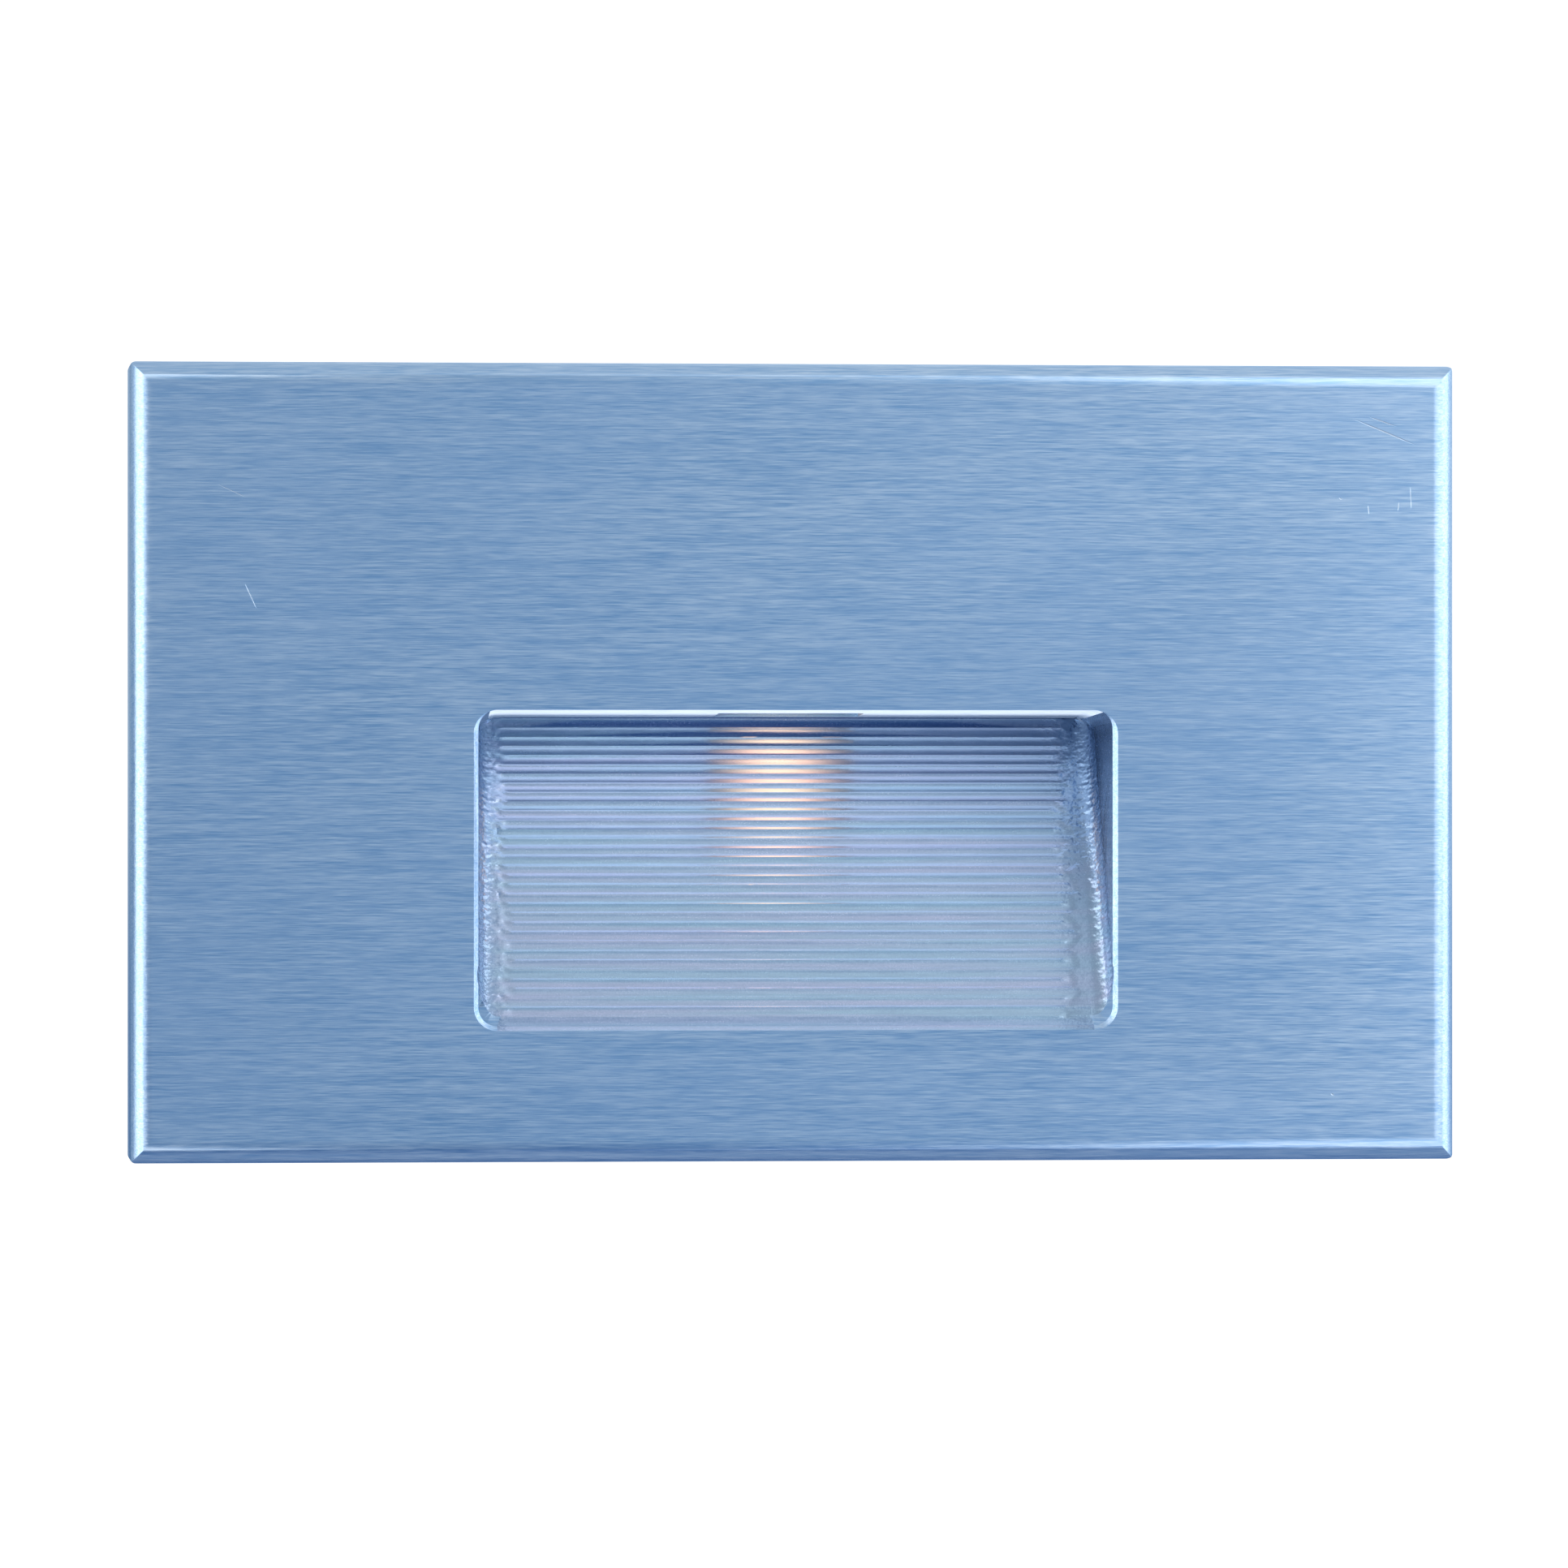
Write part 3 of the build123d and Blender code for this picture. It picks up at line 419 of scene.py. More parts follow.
def brushed_finish():
    material, tree, shader = new_finish("brushed_face", 1.0, 0.38)
    shader.inputs["Anisotropic"].default_value = 0.85
    shader.inputs["Anisotropic Rotation"].default_value = 0.25
    brushing = tree.nodes.new("ShaderNodeTangent")
    brushing.direction_type = "UV_MAP"
    brushing.uv_map = "brushing"
    tree.links.new(brushing.outputs[0], shader.inputs["Tangent"])
    line = (3.0 * MM, 0.14 * MM, 0.14 * MM)
    thread = (9 * MM, 0.30 * MM, 0.30 * MM)
    band = (18 * MM, 0.7 * MM, 0.7 * MM)
    cloud = (30 * MM, 20 * MM, 20 * MM)
    dark = (0.35, 0.55, 0.77)
    light = (0.78, 0.89, 0.99)
    haze = (0.54, 0.72, 0.93)
    bare = (0.97, 0.98, 1.0)
    lines = noise(tree, space(tree, line), 2.0, 0.6)
    threads = noise(tree, space(tree, thread), 2.0, 0.5)
    bands = noise(tree, space(tree, band), 2.0)
    clouds = noise(tree, space(tree, cloud), 3.0)
    brushed = weighted(tree, (lines, 0.55), (threads, 0.3), (bands, 0.15))
    tone = tint(tree, ranged(tree, brushed, 0.38, 0.62, 0.0, 1.0), dark, light)
    hazy = tint(tree, ranged(tree, clouds, *mid_tones, 0.0, 0.3), tone, haze)
    marks = scratch(tree, *handling_marks[0])
    for mark in handling_marks[1:]:
        marks = arithmetic(tree, "MAXIMUM", marks, scratch(tree, *mark))
    scratched = tint(tree, arithmetic(tree, "MULTIPLY", marks, 0.7), hazy, bare)
    tree.links.new(scratched, shader.inputs["Base Color"])
    gloss(tree, shader, brushed, 0.32, 0.42)
    relief(tree, shader, arithmetic(tree, "SUBTRACT", brushed, marks), 0.03 * MM)
    return material


brushed_face = dress(brushed_finish(), "brushed_face")


# %% [markdown]
# ## The milled recess
# The scoop is cut into the plate by a ball-nosed cutter, whose marks give the metal fine streaks and
# specks, with a faint shift between pink and green in bands across it. Along the side walls the cutter
# chattered and left pits. There, higher up on the right, and towards the upper right corner, the colour
# is darkened with painted shade, where the walls and the roof shade the floor.

# %% Milled aluminium
def recess_shading(tree):
    """Two masks from 0 to 1: the strip along the walls where the cutter chattered, which gets pits and
    painted shade, and the painted shade of the upper right corner.
    """
    across = place_in_mm(tree, 0)
    upward = arithmetic(tree, "MULTIPLY", place_in_mm(tree, 2), 1.2)
    ragged = noise(tree, space(tree, (0.5 * MM, 0.35 * MM, 0.35 * MM)), 3.0, 0.6)
    uneven = arithmetic(tree, "ADD", across, arithmetic(tree, "MULTIPLY", ragged, 4.0))
    # Painted shade along the walls, stronger higher up on the right; the same mask places the pits.
    right_side = ranged(tree, uneven, 26.4, 29.8, 0.0, 1.0, True)
    left_side = ranged(tree, uneven, -27.6, -25.4, 0.8, 0.0, True)
    higher = ranged(tree, upward, -28.0, -2.0, 0.35, 1.0, True)
    deep_right = arithmetic(tree, "MULTIPLY", right_side, higher)
    chatter_and_painted_shade = arithmetic(tree, "MAXIMUM", deep_right, left_side)
    # Painted shade: darker towards the upper right corner, where the right wall and the roof shade the floor.
    diagonal = arithmetic(tree, "ADD", across, upward)
    return chatter_and_painted_shade, ranged(tree, diagonal, -5.0, 32.0, 0.0, 0.65, True)


def milled_finish():
    material, tree, shader = new_finish("milled_recess", 1.0, 0.30)
    streak = (4.0 * MM, 0.25 * MM, 0.25 * MM)
    speck = (0.16 * MM,) * 3
    tone_band = (40 * MM, 1.1 * MM, 1.1 * MM)
    pit = (0.34 * MM,) * 3
    pinkish = (0.67, 0.68, 0.83)
    greenish = (0.55, 0.71, 0.81)
    dull = (0.37, 0.46, 0.59)
    shadow = (0.26, 0.36, 0.50)
    streaks = noise(tree, space(tree, streak), 3.0, 0.6)
    specks = noise(tree, space(tree, speck), 3.0, 0.6)
    rainbow = noise(tree, space(tree, tone_band), 1.0)
    marked = weighted(tree, (streaks, 0.5), (specks, 0.5))
    base = tint(tree, stretched(tree, rainbow), pinkish, greenish)
    darker = tint(tree, ranged(tree, marked, *noise_span, 0.6, 0.0), base, dull)
    chatter_and_painted_shade, painted_corner_shade = recess_shading(tree)
    # Painted shade darkens the colour along the walls and in the upper right corner.
    shadowed = tint(tree, arithmetic(tree, "MAXIMUM", chatter_and_painted_shade, painted_corner_shade), darker, shadow)
    tree.links.new(shadowed, shader.inputs["Base Color"])
    gloss(tree, shader, marked, 0.17, 0.30)
    pits = arithmetic(tree, "MULTIPLY", chatter_and_painted_shade, cells(tree, space(tree, pit)))
    pitted = arithmetic(tree, "ADD", marked, arithmetic(tree, "MULTIPLY", pits, 3.0))
    relief(tree, shader, pitted, 0.012 * MM)
    return material


milled_recess = milled_finish()


# %% [markdown]
# ## The blasted roof
# The roof of the recess faces down, yet the photograph shows it as a pale, grainy strip: blasted metal seen
# at a grazing angle picks up light from the whole room in front. A few bounces in a small studio don't give
# that light, so the finish has a faint glow of its own near the front edge. It fades to nothing further in,
# because the grooves below mirror that deeper part, and there the photograph is dark.

# %% Blasted aluminium for the roof, with painted light near its front edge
def blasted_finish():
    material, tree, shader = new_finish("blasted_roof", 1.0, 0.60)
    bright_until, dark_from = -4.5, 1.8
    sooty = (0.50, 0.58, 0.68)
    pale = (0.84, 0.90, 0.96)
    grain = noise(tree, space(tree, (0.22 * MM,) * 3), 3.0, 0.6)
    patches = noise(tree, space(tree, (3 * MM, 0.8 * MM, 0.8 * MM)), 3.0)
    mixed = weighted(tree, (grain, 0.6), (patches, 0.4))
    shade = tint(tree, stretched(tree, mixed), sooty, pale)
    tree.links.new(shade, shader.inputs["Base Color"])
    gloss(tree, shader, mixed, 0.5, 0.7)
    # Painted light: the emission stands in for room light on the roof's front part and fades further in.
    tree.links.new(shade, shader.inputs["Emission Color"])
    glow = ranged(tree, place_in_mm(tree, 1), bright_until, dark_from, 0.90, 0.04, True)
    tree.links.new(glow, shader.inputs["Emission Strength"])
    relief(tree, shader, mixed, 0.02 * MM)
    return material


blasted_roof = blasted_finish()

# %% [markdown]
# ## Cutting the recess
# The cutter goes back and forth across the sloping floor, and its passes lie about a millimetre apart, so
# the floor is a flight of hollow grooves with sharp crests between them. Where it turns it leaves round,
# uneven ends, and in the rounded corners along the walls it leaves pebbles. Bump alone would look painted
# on, so this is real shape: a fine sheet is laid on the floor by the formula of a ball on its path, given
# a lid, and cut out of a copy of the plate.

# %% Sizes of the recess
scoop_width = 60.8 * MM
scoop_height = 30.1 * MM
scoop_top = 5.0 * MM
scoop_depth = 14.0 * MM
draft = radians(2.7)
corner_fillet = 1.9 * MM
groove_count = 33
ball_radius = 1.1 * MM

scoop_bottom = scoop_top - scoop_height
floor_tilt = atan2(scoop_depth, scoop_height)
floor_length = sqrt(scoop_depth**2 + scoop_height**2)
floor_reach = scoop_height / (cos(floor_tilt) + sin(floor_tilt) * tan(draft))
groove_pitch = floor_reach / groove_count
crest_lift = sqrt(ball_radius**2 - (groove_pitch / 2) ** 2)
wall_lean = atan2(tan(draft) * cos(floor_tilt), 1.0)
roof_corner = 1.8 * MM
rim_chamfer = 0.45 * MM
roof_gap = 0.02 * MM
along_floor = Vector((0, sin(floor_tilt), cos(floor_tilt)))
off_floor = Vector((0, -cos(floor_tilt), sin(floor_tilt)))
print("grooves", groove_count, "pitch", round(groove_pitch / MM, 3), "mm")


# %% The cutter's path at each groove
cutter_play = Random(7)
left_play = (-0.5, 0.35)
right_play = (-1.1, 0.7)
lead_in_share = 0.75
odd_turn_share = 0.15
lead_in_across = 0.42 * MM
lead_in_along = 0.5 * MM
left_groove_end = 27.6 * MM
right_groove_end = 26.9 * MM
left_reach = [left_groove_end + cutter_play.uniform(*left_play) * MM for _ in range(groove_count)]
right_reach = [right_groove_end + cutter_play.uniform(*right_play) * MM for _ in range(groove_count)]
lead_in = [cutter_play.random() < lead_in_share for _ in range(groove_count)]
turn_back = [index % 2 == 0 or cutter_play.random() < odd_turn_share for index in range(groove_count)]


def off_segment(point, start, end):
    """Distance from a point to a segment, both as (across, along) pairs."""
    run = (end[0] - start[0], end[1] - start[1])
    to_point = (point[0] - start[0], point[1] - start[1])
    length_squared = run[0] ** 2 + run[1] ** 2
    share = (to_point[0] * run[0] + to_point[1] * run[1]) / length_squared
    share = min(max(share, 0.0), 1.0)
    return hypot(to_point[0] - share * run[0], to_point[1] - share * run[1])


def groove_centre(index):
    return (index + 0.5) * groove_pitch


def cutter_moves(index):
    """The straight moves of the cutter at one groove."""
    left, right, along = -left_reach[index], right_reach[index], groove_centre(index)
    moves = [((left, along), (right, along))]
    if lead_in[index]:
        moves.append(((left, along), (left - lead_in_across, along + lead_in_along)))
    if turn_back[index] and index + 1 < groove_count:
        moves.append(((right, along), (right_reach[index + 1], groove_centre(index + 1))))
    return moves


moves_of = [cutter_moves(index) for index in range(groove_count)]


def hollow(across, along):
    """How far the ball has cut below the crests at this place on the floor."""
    nearest = int(along / groove_pitch)
    deepest = 0.0
    for index in range(max(nearest - 1, 0), min(nearest + 2, groove_count)):
        for start, end in moves_of[index]:
            away = off_segment((across, along), start, end)
            if away < groove_pitch / 2:
                deepest = max(deepest, sqrt(ball_radius**2 - away**2) - crest_lift)
    return deepest


# %% The sheet's shape
lean_share = 0.35
sink_least, sink_added = 0.02, 0.10  # mm below the crests that the solid has
sink_from, sink_to = 1 * MM, 5 * MM
pebble_depth = 0.055 * MM
pebbles_before, pebbles_after = 0.3 * MM, 0.8 * MM
pebble_least, pebble_added = 0.35, 0.65  # shares of that depth, at the foot and added above it
pebble_rise_from, pebble_rise_to = 3 * MM, 20 * MM
coarse_pebbles, fine_pebbles, fine_share = 2.4, 5.1, 0.6
ripple_depth = 0.004
ripple_across, ripple_along, ripple_slice = 0.6, 2.5, 3.0


def rounded_section(travel, along):
    """Across, height off the floor and slope angle at a distance from the middle, up into the fillet."""
    wall = scoop_width / 2 - tan(draft) * along * sin(floor_tilt)
    centre = wall + corner_fillet * tan(wall_lean) - corner_fillet / cos(wall_lean)
    side, reach = (1 if travel > 0 else -1), abs(travel)
    if reach <= centre:
        return travel, 0.0, 0.0
    turned = (reach - centre) / corner_fillet
    last = pi / 2 - wall_lean
    if turned <= last:
        return side * (centre + corner_fillet * sin(turned)), corner_fillet * (1 - cos(turned)), side * turned
    beyond = (turned - last) * corner_fillet
    lean_in = lean_share * beyond
    top = centre + corner_fillet * sin(last) + beyond * tan(wall_lean) - lean_in
    return side * top, corner_fillet * (1 - cos(last)) + beyond, side * last


def roof_at(across, height):
    """How far along the floor the recess's roof is, at this place across it and height off it."""
    reach = scoop_height - height * (sin(floor_tilt) - cos(floor_tilt) * tan(draft))
    reach /= cos(floor_tilt) + sin(floor_tilt) * tan(draft)
    wall = scoop_width / 2 - tan(draft) * (reach * sin(floor_tilt) - height * cos(floor_tilt))
    into_corner = min(max(abs(across) - (wall - roof_corner), 0.0), roof_corner)
    return reach - roof_gap - (roof_corner - sqrt(roof_corner**2 - into_corner**2))


def ease(value, low, high):
    """0 below low, 1 above high and smooth between."""
    share = min(max((value - low) / (high - low), 0.0), 1.0)
    return share * share * (3 - 2 * share)


def squeezed(along, end):
    """The last stretch of the floor, drawn in so that it ends where the roof is."""
    if along < squeeze_from:
        return along
    return squeeze_from + (along - squeeze_from) * (end - squeeze_from) / (floor_length - squeeze_from)


def sheet_point(travel, along, lidded):
    """A point of the cut floor, or of the flat lid over it."""
    across, height, slope = rounded_section(travel, along)
    if lidded:
        across *= lid_share
        along = squeezed(along, roof_at(across, lid_height))
        return Vector((across, face_y, scoop_bottom)) + along * along_floor + lid_height * off_floor
    along = squeezed(along, roof_at(across, height))
    sink = (sink_least + sink_added * ease(along, sink_from, sink_to)) * MM
    here = Vector((across, along, height)) / MM
    groove_end = right_groove_end if travel > 0 else left_groove_end
    pebbled = ease(abs(travel), groove_end - pebbles_before, groove_end + pebbles_after)
    pebbled *= pebble_least + pebble_added * ease(along, pebble_rise_from, pebble_rise_to)
    pebbles = mathutils.noise.noise(here * coarse_pebbles)
    pebbles += fine_share * mathutils.noise.noise(here * fine_pebbles)
    ripple_place = Vector((here.x * ripple_across, here.y * ripple_along, ripple_slice))
    ripple = ripple_depth * mathutils.noise.noise(ripple_place)
    depth = sink + pebble_depth * pebbled * pebbles + ripple * MM
    if slope == 0.0:
        depth += hollow(across, along)
    across += sin(slope) * depth
    height -= cos(slope) * depth
    return Vector((across, face_y, scoop_bottom)) + along * along_floor + height * off_floor


# %% Lay the sheet and its lid
columns, rows = 200, 330
sheet_low = -1.5 * MM
squeeze_length = 4.0 * MM
sheet_overlap = 1.15 * MM
squeeze_from = floor_length - squeeze_length
half_travel = scoop_width / 2 + sheet_overlap
lid_height = 3.2 * MM
lid_share = 0.97


def laid_sheet(name, lidded):
    """A grid whose columns are closest together at the sides, laid on the floor."""
    bpy.ops.object.select_all(action="DESELECT")
    bpy.ops.mesh.primitive_grid_add(x_subdivisions=columns, y_subdivisions=rows, size=2)
    sheet = bpy.context.object
    sheet.name = name
    for vertex in sheet.data.vertices:
        travel = half_travel * sin(pi / 2 * vertex.co.x)
        along = sheet_low + (floor_length - sheet_low) * (vertex.co.y + 1) / 2
        vertex.co = sheet_point(travel, along, lidded)
    return sheet


cutter = laid_sheet("recess_cutter", False)
lid = laid_sheet("recess_lid", True)
lid.select_set(True)
cutter.select_set(True)
bpy.context.view_layer.objects.active = cutter
bpy.ops.object.join()
bpy.ops.object.mode_set(mode="EDIT")
bpy.ops.mesh.select_all(action="DESELECT")
bpy.ops.mesh.select_non_manifold()
bpy.ops.mesh.bridge_edge_loops()
bpy.ops.mesh.select_all(action="SELECT")
bpy.ops.mesh.normals_make_consistent(inside=False)
bpy.ops.object.mode_set(mode="OBJECT")
print("cutter faces", len(cutter.data.polygons))

# %% Cut it out of a copy of the plate
weld_distance = 0.0005 * MM
smooth_angle = radians(32)

plate = nodes["faceplate"].copy()
plate.data = nodes["faceplate"].data.copy()
plate.name = "faceplate_milled"
plate.parent = None
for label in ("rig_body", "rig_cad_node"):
    del plate[label]
bpy.context.scene.collection.objects.link(plate)
bpy.ops.object.select_all(action="DESELECT")
plate.select_set(True)
bpy.context.view_layer.objects.active = plate
bpy.ops.mesh.customdata_custom_splitnormals_clear()
bpy.ops.object.mode_set(mode="EDIT")
bpy.ops.mesh.select_all(action="SELECT")
bpy.ops.mesh.remove_doubles(threshold=weld_distance)
bpy.ops.object.mode_set(mode="OBJECT")
cut = plate.modifiers.new("mill the recess", "BOOLEAN")
cut.operation = "DIFFERENCE"
cut.solver = "MANIFOLD"
cut.object = cutter
bpy.ops.object.modifier_apply(modifier=cut.name)
bpy.data.objects.remove(cutter)
bpy.ops.object.shade_smooth_by_angle(angle=smooth_angle)


# %% Tell the brushed, milled and blasted faces apart
bare_rim = 0.05 * MM
run_out_height = 2 * MM
run_out_inset = 2.2 * MM
recess_spare = 0.1 * MM
foot_spare = 0.4 * MM
depth_spare = 0.3 * MM
roof_height = 1.2 * MM
roof_normal = -0.9
blasted_depth = 12.5 * MM


def in_recess(place):
    """Whether a place on the plate is on the recess's floor, walls or roof."""
    run_out_half = scoop_width / 2 - run_out_inset
    run_out = place.z < scoop_bottom + run_out_height and abs(place.x) < run_out_half
    behind_rim = place.y > face_y + (bare_rim if run_out else rim_chamfer)
    across = abs(place.x) < scoop_width / 2 + recess_spare
    upright = scoop_bottom - foot_spare < place.z < scoop_top + recess_spare
    return behind_rim and across and upright and place.y < face_y + scoop_depth + depth_spare


brushing_map = plate.data.uv_layers.new(name="brushing")
for corner, loop in zip(brushing_map.data, plate.data.loops):
    place = plate.data.vertices[loop.vertex_index].co
    depth = place.y - face_y
    outwards = depth if place.x > 0 else -depth
    upwards = depth if place.z > 0 else -depth
    corner.uv = (place.x + outwards, place.z - upwards)
plate.data.materials.clear()
for finish in (brushed_face, milled_recess, blasted_roof):
    plate.data.materials.append(finish)
milled_index, blasted_index = 1, 2
milled = 0
for polygon in plate.data.polygons:
    if in_recess(polygon.center):
        under_roof = polygon.normal.z < roof_normal and polygon.center.z > scoop_top - roof_height
        front_part = polygon.center.y < face_y + blasted_depth
        polygon.material_index = blasted_index if under_roof and front_part else milled_index
        milled += 1
print("milled faces", milled)
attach(plate, "luminaire")
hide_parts("faceplate")
print("plate faces", len(plate.data.polygons))


# %% [markdown]
# ## Moulded plastics
# The housing, cover and gland are glass-filled nylon from a spark-textured mould: very fine pebbles, a
# satin sheen, and edges that have rubbed a little paler. Connectors and sockets are smoother. One
# function makes them all, and each is told its colour, its pebble size and its gloss.

# %% Plastics
def moulded_finish(name, colour, roughness, pebble, depth, rubbed=0.12):
    material, tree, shader = new_finish(name, 0.0, roughness)
    pebbles = cells(tree, space(tree, (pebble,) * 3))
    mottle = noise(tree, space(tree, (9 * MM,) * 3), 3.0)
    darker = tuple(0.82 * channel for channel in colour)
    paler = tuple(min(channel + rubbed, 0.95) for channel in colour)
    base = tint(tree, stretched(tree, mottle), darker, colour)
    tree.links.new(tint(tree, worn_edges(tree), base, paler), shader.inputs["Base Color"])
    gloss(tree, shader, mottle, roughness - 0.06, roughness + 0.08)
    relief(tree, shader, pebbles, depth)
    return material


# Each look is the colour, roughness, pebble size, pebble depth and, for some, how much paler edges are.
plastic_looks = {
    "housing_plastic": ((0.05, 0.05, 0.055), 0.48, 0.35 * MM, 0.03 * MM),
    "gland_plastic": ((0.04, 0.04, 0.045), 0.40, 0.5 * MM, 0.012 * MM),
    "black_plastic": ((0.025, 0.025, 0.028), 0.42, 0.3 * MM, 0.012 * MM),
    "white_plastic": ((0.80, 0.80, 0.76), 0.38, 0.4 * MM, 0.008 * MM, 0.05),
    "terminal_plastic": ((0.07, 0.30, 0.12), 0.40, 0.4 * MM, 0.008 * MM),
    "yellow_case": ((0.78, 0.60, 0.08), 0.32, 0.5 * MM, 0.008 * MM, 0.05),
}
dress_all(moulded_finish, plastic_looks)


# %% [markdown]
# ## Rubber and foam
# The wall gasket is closed-cell foam, so its surface is a field of tiny open bubbles. The silicone rings
# and the thermal pad are smoother and catch dust, which shows as soft pale mottling.

# %% Foam, silicone, thermal pad and cable seal
def rubber_finish(name, colour, roughness, cell, depth, dust=0.10):
    material, tree, shader = new_finish(name, 0.0, roughness)
    bubbles = ranged(tree, cells(tree, space(tree, (cell,) * 3)), 0.15, 0.6, 0.0, 1.0, True)
    dusting = noise(tree, space(tree, (5 * MM,) * 3), 5.0, 0.6)
    pale = tuple(min(channel + dust, 0.95) for channel in colour)
    base = tint(tree, ranged(tree, dusting, 0.45, 0.8, 0.0, 0.7), colour, pale)
    # Painted shade: the colour is darker inside the bubble pits, where shade falls.
    painted_bubble_shade = tuple(0.45 * channel for channel in colour)
    tree.links.new(tint(tree, bubbles, painted_bubble_shade, base), shader.inputs["Base Color"])
    gloss(tree, shader, dusting, roughness - 0.08, roughness + 0.1)
    relief(tree, shader, bubbles, depth)
    return material


# Each look is the colour, roughness, bubble size, bubble depth and, for the pad, how pale its dust is.
rubber_looks = {
    "foam": ((0.045, 0.045, 0.05), 0.85, 0.28 * MM, 0.06 * MM),
    "silicone": ((0.10, 0.10, 0.11), 0.55, 0.12 * MM, 0.006 * MM),
    "pad": ((0.42, 0.47, 0.58), 0.7, 0.2 * MM, 0.01 * MM, 0.06),
}
dress_all(rubber_finish, rubber_looks)


# %% [markdown]
# ## Plain metals
# Screws are turned, so their tool marks run round them. The bracket is zinc plated, with the faint
# crystal flowers and bluish tone of a passivated coat. The heat spreader and window frame are cut from
# mill-finish aluminium strip, and the set screws are blackened steel.

# %% Metals
def metal_finish(name, colour, roughness, grain, depth, worn=(0.9, 0.9, 0.9)):
    material, tree, shader = new_finish(name, 1.0, roughness)
    marks = noise(tree, space(tree, grain), 4.0, 0.6)
    patches = noise(tree, space(tree, (4 * MM,) * 3), 4.0, 0.55, 0.5)
    darker = tuple(0.78 * channel for channel in colour)
    base = tint(tree, stretched(tree, patches), darker, colour)
    tree.links.new(tint(tree, worn_edges(tree), base, worn), shader.inputs["Base Color"])
    gloss(tree, shader, marks, roughness - 0.08, roughness + 0.12)
    relief(tree, shader, marks, depth)
    return material


def zinc_finish():
    material, tree, shader = new_finish("zinc_steel", 1.0, 0.36)
    crystals = cells(tree, space(tree, (2.2 * MM,) * 3), "SMOOTH_F1")
    rolled = noise(tree, space(tree, (6 * MM, 0.3 * MM, 0.3 * MM)), 4.0, 0.6)
    cloud = noise(tree, space(tree, (14 * MM,) * 3), 3.0, 0.5, 1.0)
    base = tint(tree, ranged(tree, crystals, 0.2, 0.8, 0.0, 1.0), (0.66, 0.68, 0.70), (0.50, 0.53, 0.57))
    passivated = tint(tree, ranged(tree, cloud, 0.4, 0.7, 0.0, 0.5), base, (0.62, 0.66, 0.60))
    tree.links.new(tint(tree, worn_edges(tree), passivated, (0.82, 0.83, 0.84)), shader.inputs["Base Color"])
    gloss(tree, shader, rolled, 0.28, 0.46)
    relief(tree, shader, rolled, 0.01 * MM)
    return material


dress(zinc_finish(), "zinc_steel")
# Each look is the colour, roughness, grain size, grain depth and, for coated steel, the worn edges' colour.
metal_looks = {
    "stainless": ((0.60, 0.60, 0.61), 0.27, (0.25 * MM, 2 * MM, 0.25 * MM), 0.006 * MM),
    "plain_aluminium": ((0.74, 0.75, 0.77), 0.38, (8 * MM, 0.2 * MM, 0.2 * MM), 0.008 * MM),
    "black_oxide": ((0.06, 0.06, 0.065), 0.42, (0.3 * MM,) * 3, 0.006 * MM, (0.35, 0.34, 0.33)),
    "green_nut": ((0.05, 0.34, 0.12), 0.36, (0.3 * MM,) * 3, 0.006 * MM, (0.55, 0.6, 0.5)),
}
dress_all(metal_finish, metal_looks)


# %% [markdown]
# ## Electronics
# Everything on the driver board has the finish of its kind: solder mask over faint copper tracks, shrink
# sleeve, dipped lacquer, pressed ferrite and wound polyester tape. They sit inside the sealed housing
# and are seen only when the light is opened, but a part in a library may be opened.

# %% Boards
def board_finish(name, mask, copper):
    material, tree, shader = new_finish(name, 0.0, 0.35)
    tracks = tree.nodes.new("ShaderNodeTexBrick")
    tracks.inputs["Scale"].default_value = 1.0
    tracks.inputs["Mortar Size"].default_value = 0.09
    tracks.inputs["Brick Width"].default_value = 2.3
    tracks.inputs["Row Height"].default_value = 0.8
    tree.links.new(space(tree, (2.2 * MM,) * 3, (pi / 2, 0, 0)), tracks.inputs["Vector"])
    weave = noise(tree, space(tree, (0.25 * MM,) * 3), 2.0)
    base = tint(tree, tracks.outputs["Fac"], mask, copper)
    shaded_mask = tuple(0.6 * channel for channel in mask)
    shade = tint(tree, ranged(tree, weave, *noise_span, 0.0, 0.25), base, shaded_mask)
    tree.links.new(shade, shader.inputs["Base Color"])
    gloss(tree, shader, weave, 0.28, 0.42)
    relief(tree, shader, tracks.outputs["Fac"], 0.02 * MM)
    shader.inputs["Coat Weight"].default_value = 0.4
    return material


# Each look is the colour of the solder mask and of the copper seen through it.
board_looks = {
    "green_board": ((0.03, 0.22, 0.09), (0.09, 0.36, 0.14)),
    "white_board": ((0.88, 0.88, 0.85), (0.80, 0.80, 0.76)),
}
dress_all(board_finish, board_looks)


# %% Leads, sleeves, lacquer, ferrite and tape
def sleeve_finish(name, colour, roughness, wrinkle, depth, coat):
    material, tree, shader = new_finish(name, 0.0, roughness)
    folds = noise(tree, space(tree, wrinkle), 3.0, 0.5, 0.4)
    specks = noise(tree, space(tree, (0.6 * MM,) * 3), 4.0)
    paler = tuple(min(1.25 * channel + 0.02, 0.95) for channel in colour)
    shade = tint(tree, ranged(tree, specks, 0.35, 0.7, 0.0, 1.0), colour, paler)
    tree.links.new(shade, shader.inputs["Base Color"])
    gloss(tree, shader, folds, roughness - 0.06, roughness + 0.1)
    relief(tree, shader, folds, depth)
    shader.inputs["Coat Weight"].default_value = coat
    return material


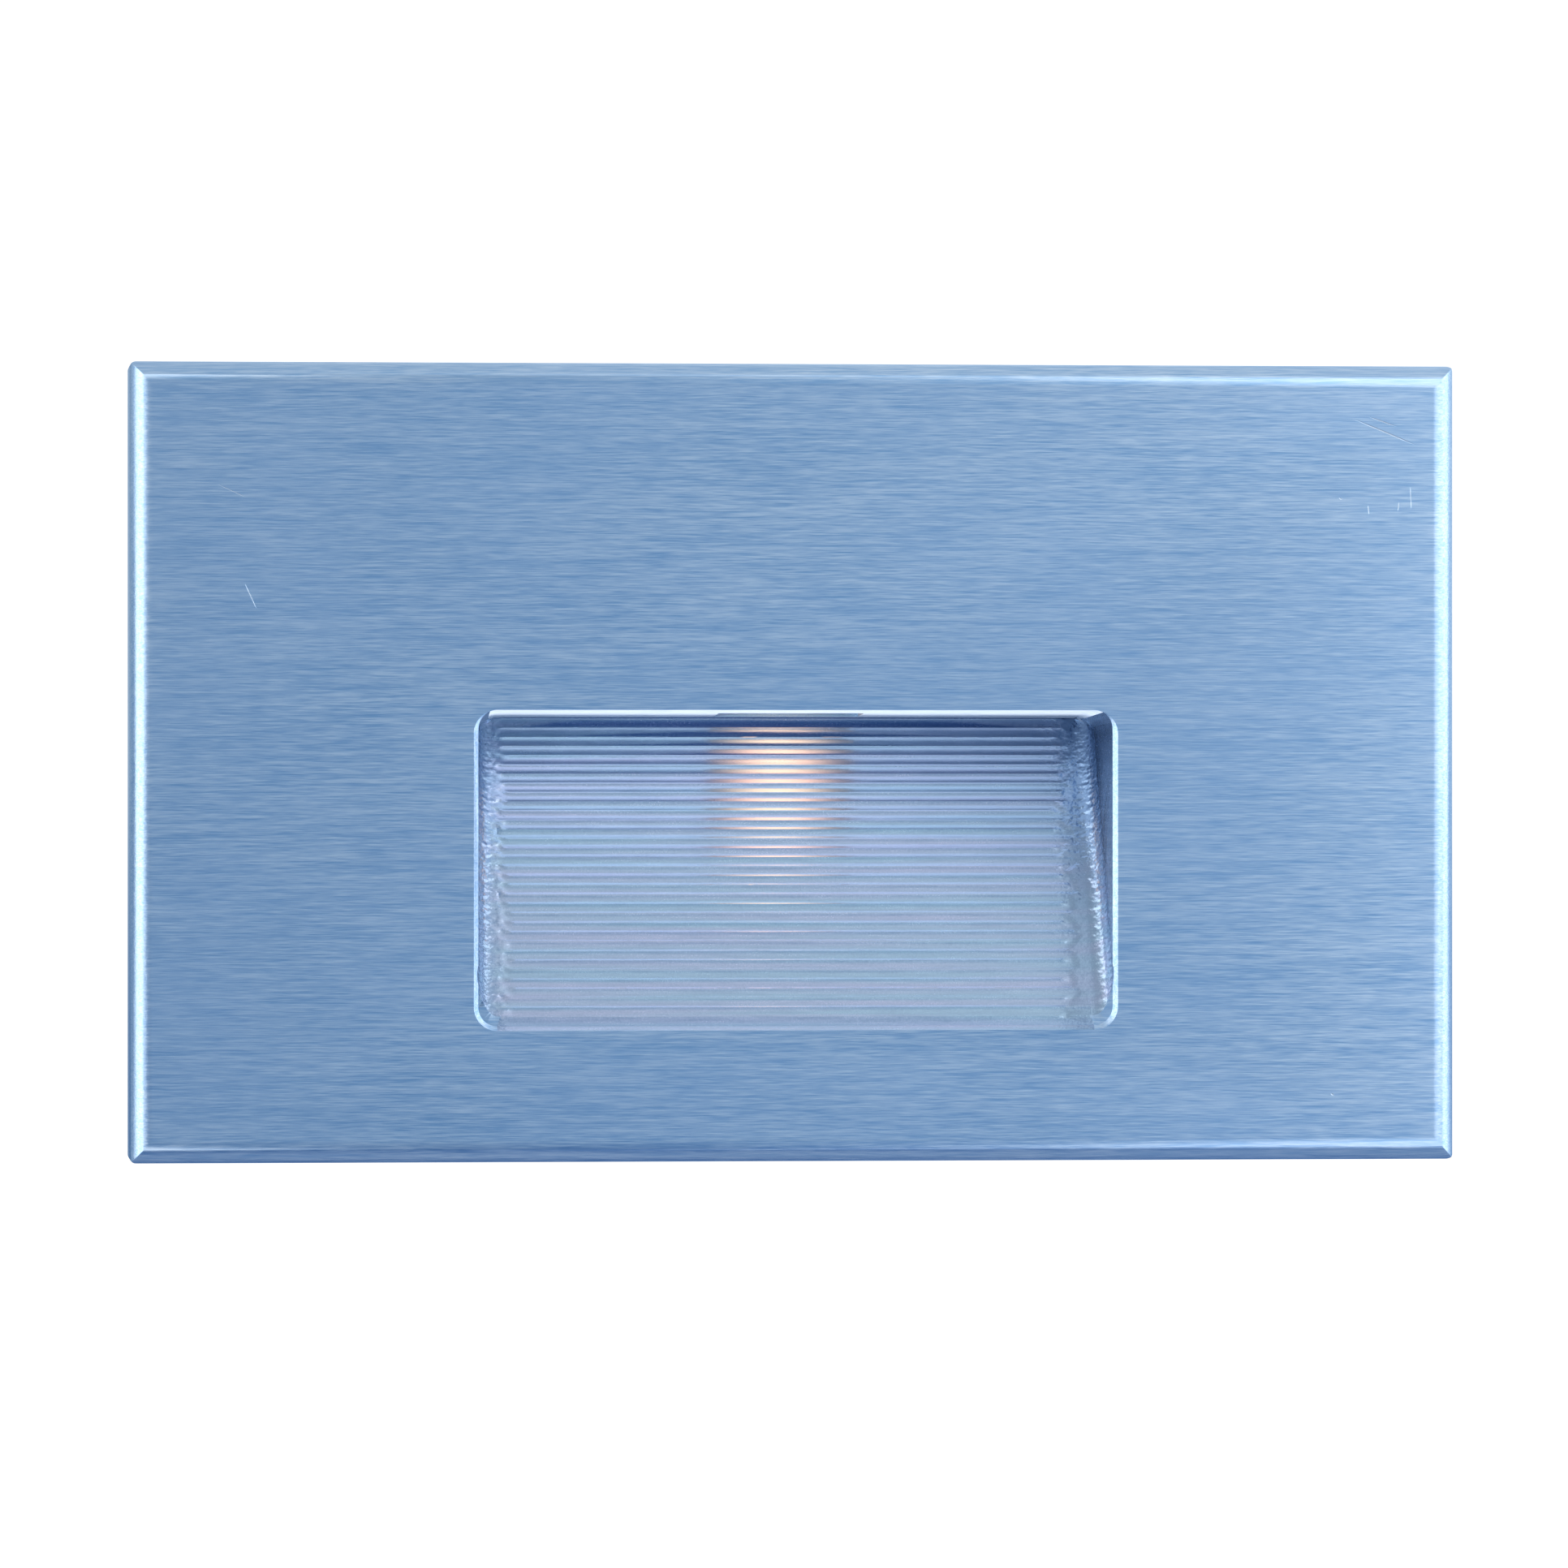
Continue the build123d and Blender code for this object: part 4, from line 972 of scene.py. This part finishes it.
# Each look is the colour, roughness, wrinkle size, wrinkle depth and the weight of its clear coat.
sleeve_looks = {
    "red_lead": ((0.55, 0.03, 0.025), 0.42, (0.4 * MM,) * 3, 0.01 * MM, 0.2),
    "black_lead": ((0.025, 0.025, 0.028), 0.42, (0.4 * MM,) * 3, 0.01 * MM, 0.2),
    "can_sleeve": ((0.05, 0.06, 0.10), 0.30, (1.5 * MM, 6 * MM, 1.5 * MM), 0.02 * MM, 0.5),
    "choke_sleeve": ((0.03, 0.03, 0.03), 0.34, (1.5 * MM, 4 * MM, 1.5 * MM), 0.03 * MM, 0.4),
    "blue_disc": ((0.04, 0.13, 0.42), 0.30, (1.2 * MM,) * 3, 0.03 * MM, 0.5),
    "yellow_tape": ((0.82, 0.66, 0.12), 0.28, (5 * MM, 0.5 * MM, 5 * MM), 0.03 * MM, 0.5),
}
dress_all(sleeve_finish, sleeve_looks)
dress(moulded_finish("ferrite", (0.09, 0.09, 0.095), 0.55, 0.2 * MM, 0.02 * MM, 0.08), "ferrite")


# %% [markdown]
# ## Light
# The LED shines down through a frosted window in the roof of the recess. The frosting scatters the
# light, so the window itself glows, and that glow is what warms the middle of the grooves. The window
# is given a warm emission of its own, which is strongest under the diode and fades to the sides.

# %% Frosted window and diode
glow_colour = (1.0, 0.53, 0.26)
glow_reach = 7.0 * MM
glow_left = 0.04


def glow_finish(name, strength, base, roughness):
    material, tree, shader = new_finish(name, 0.0, roughness)
    frost = noise(tree, space(tree, (0.15 * MM,) * 3), 3.0)
    milk = tint(tree, frost, base, (0.98, 0.95, 0.90))
    tree.links.new(milk, shader.inputs["Base Color"])
    gloss(tree, shader, frost, roughness - 0.1, roughness + 0.1)
    shader.inputs["Emission Color"].default_value = (*glow_colour, 1)
    off_middle = arithmetic(tree, "ABSOLUTE", place_in_mm(tree, 0))
    fading = ranged(tree, off_middle, 0.0, glow_reach / MM, strength, glow_left * strength, True)
    tree.links.new(fading, shader.inputs["Emission Strength"])
    relief(tree, shader, frost, 0.01 * MM)
    return material


# Each look is the glow's strength, the colour and the roughness.
glow_looks = {
    "frosted_glass": (2.6, (0.90, 0.88, 0.82), 0.5),
    "led": (20.0, (0.95, 0.75, 0.25), 0.2),
}
dress_all(glow_finish, glow_looks)
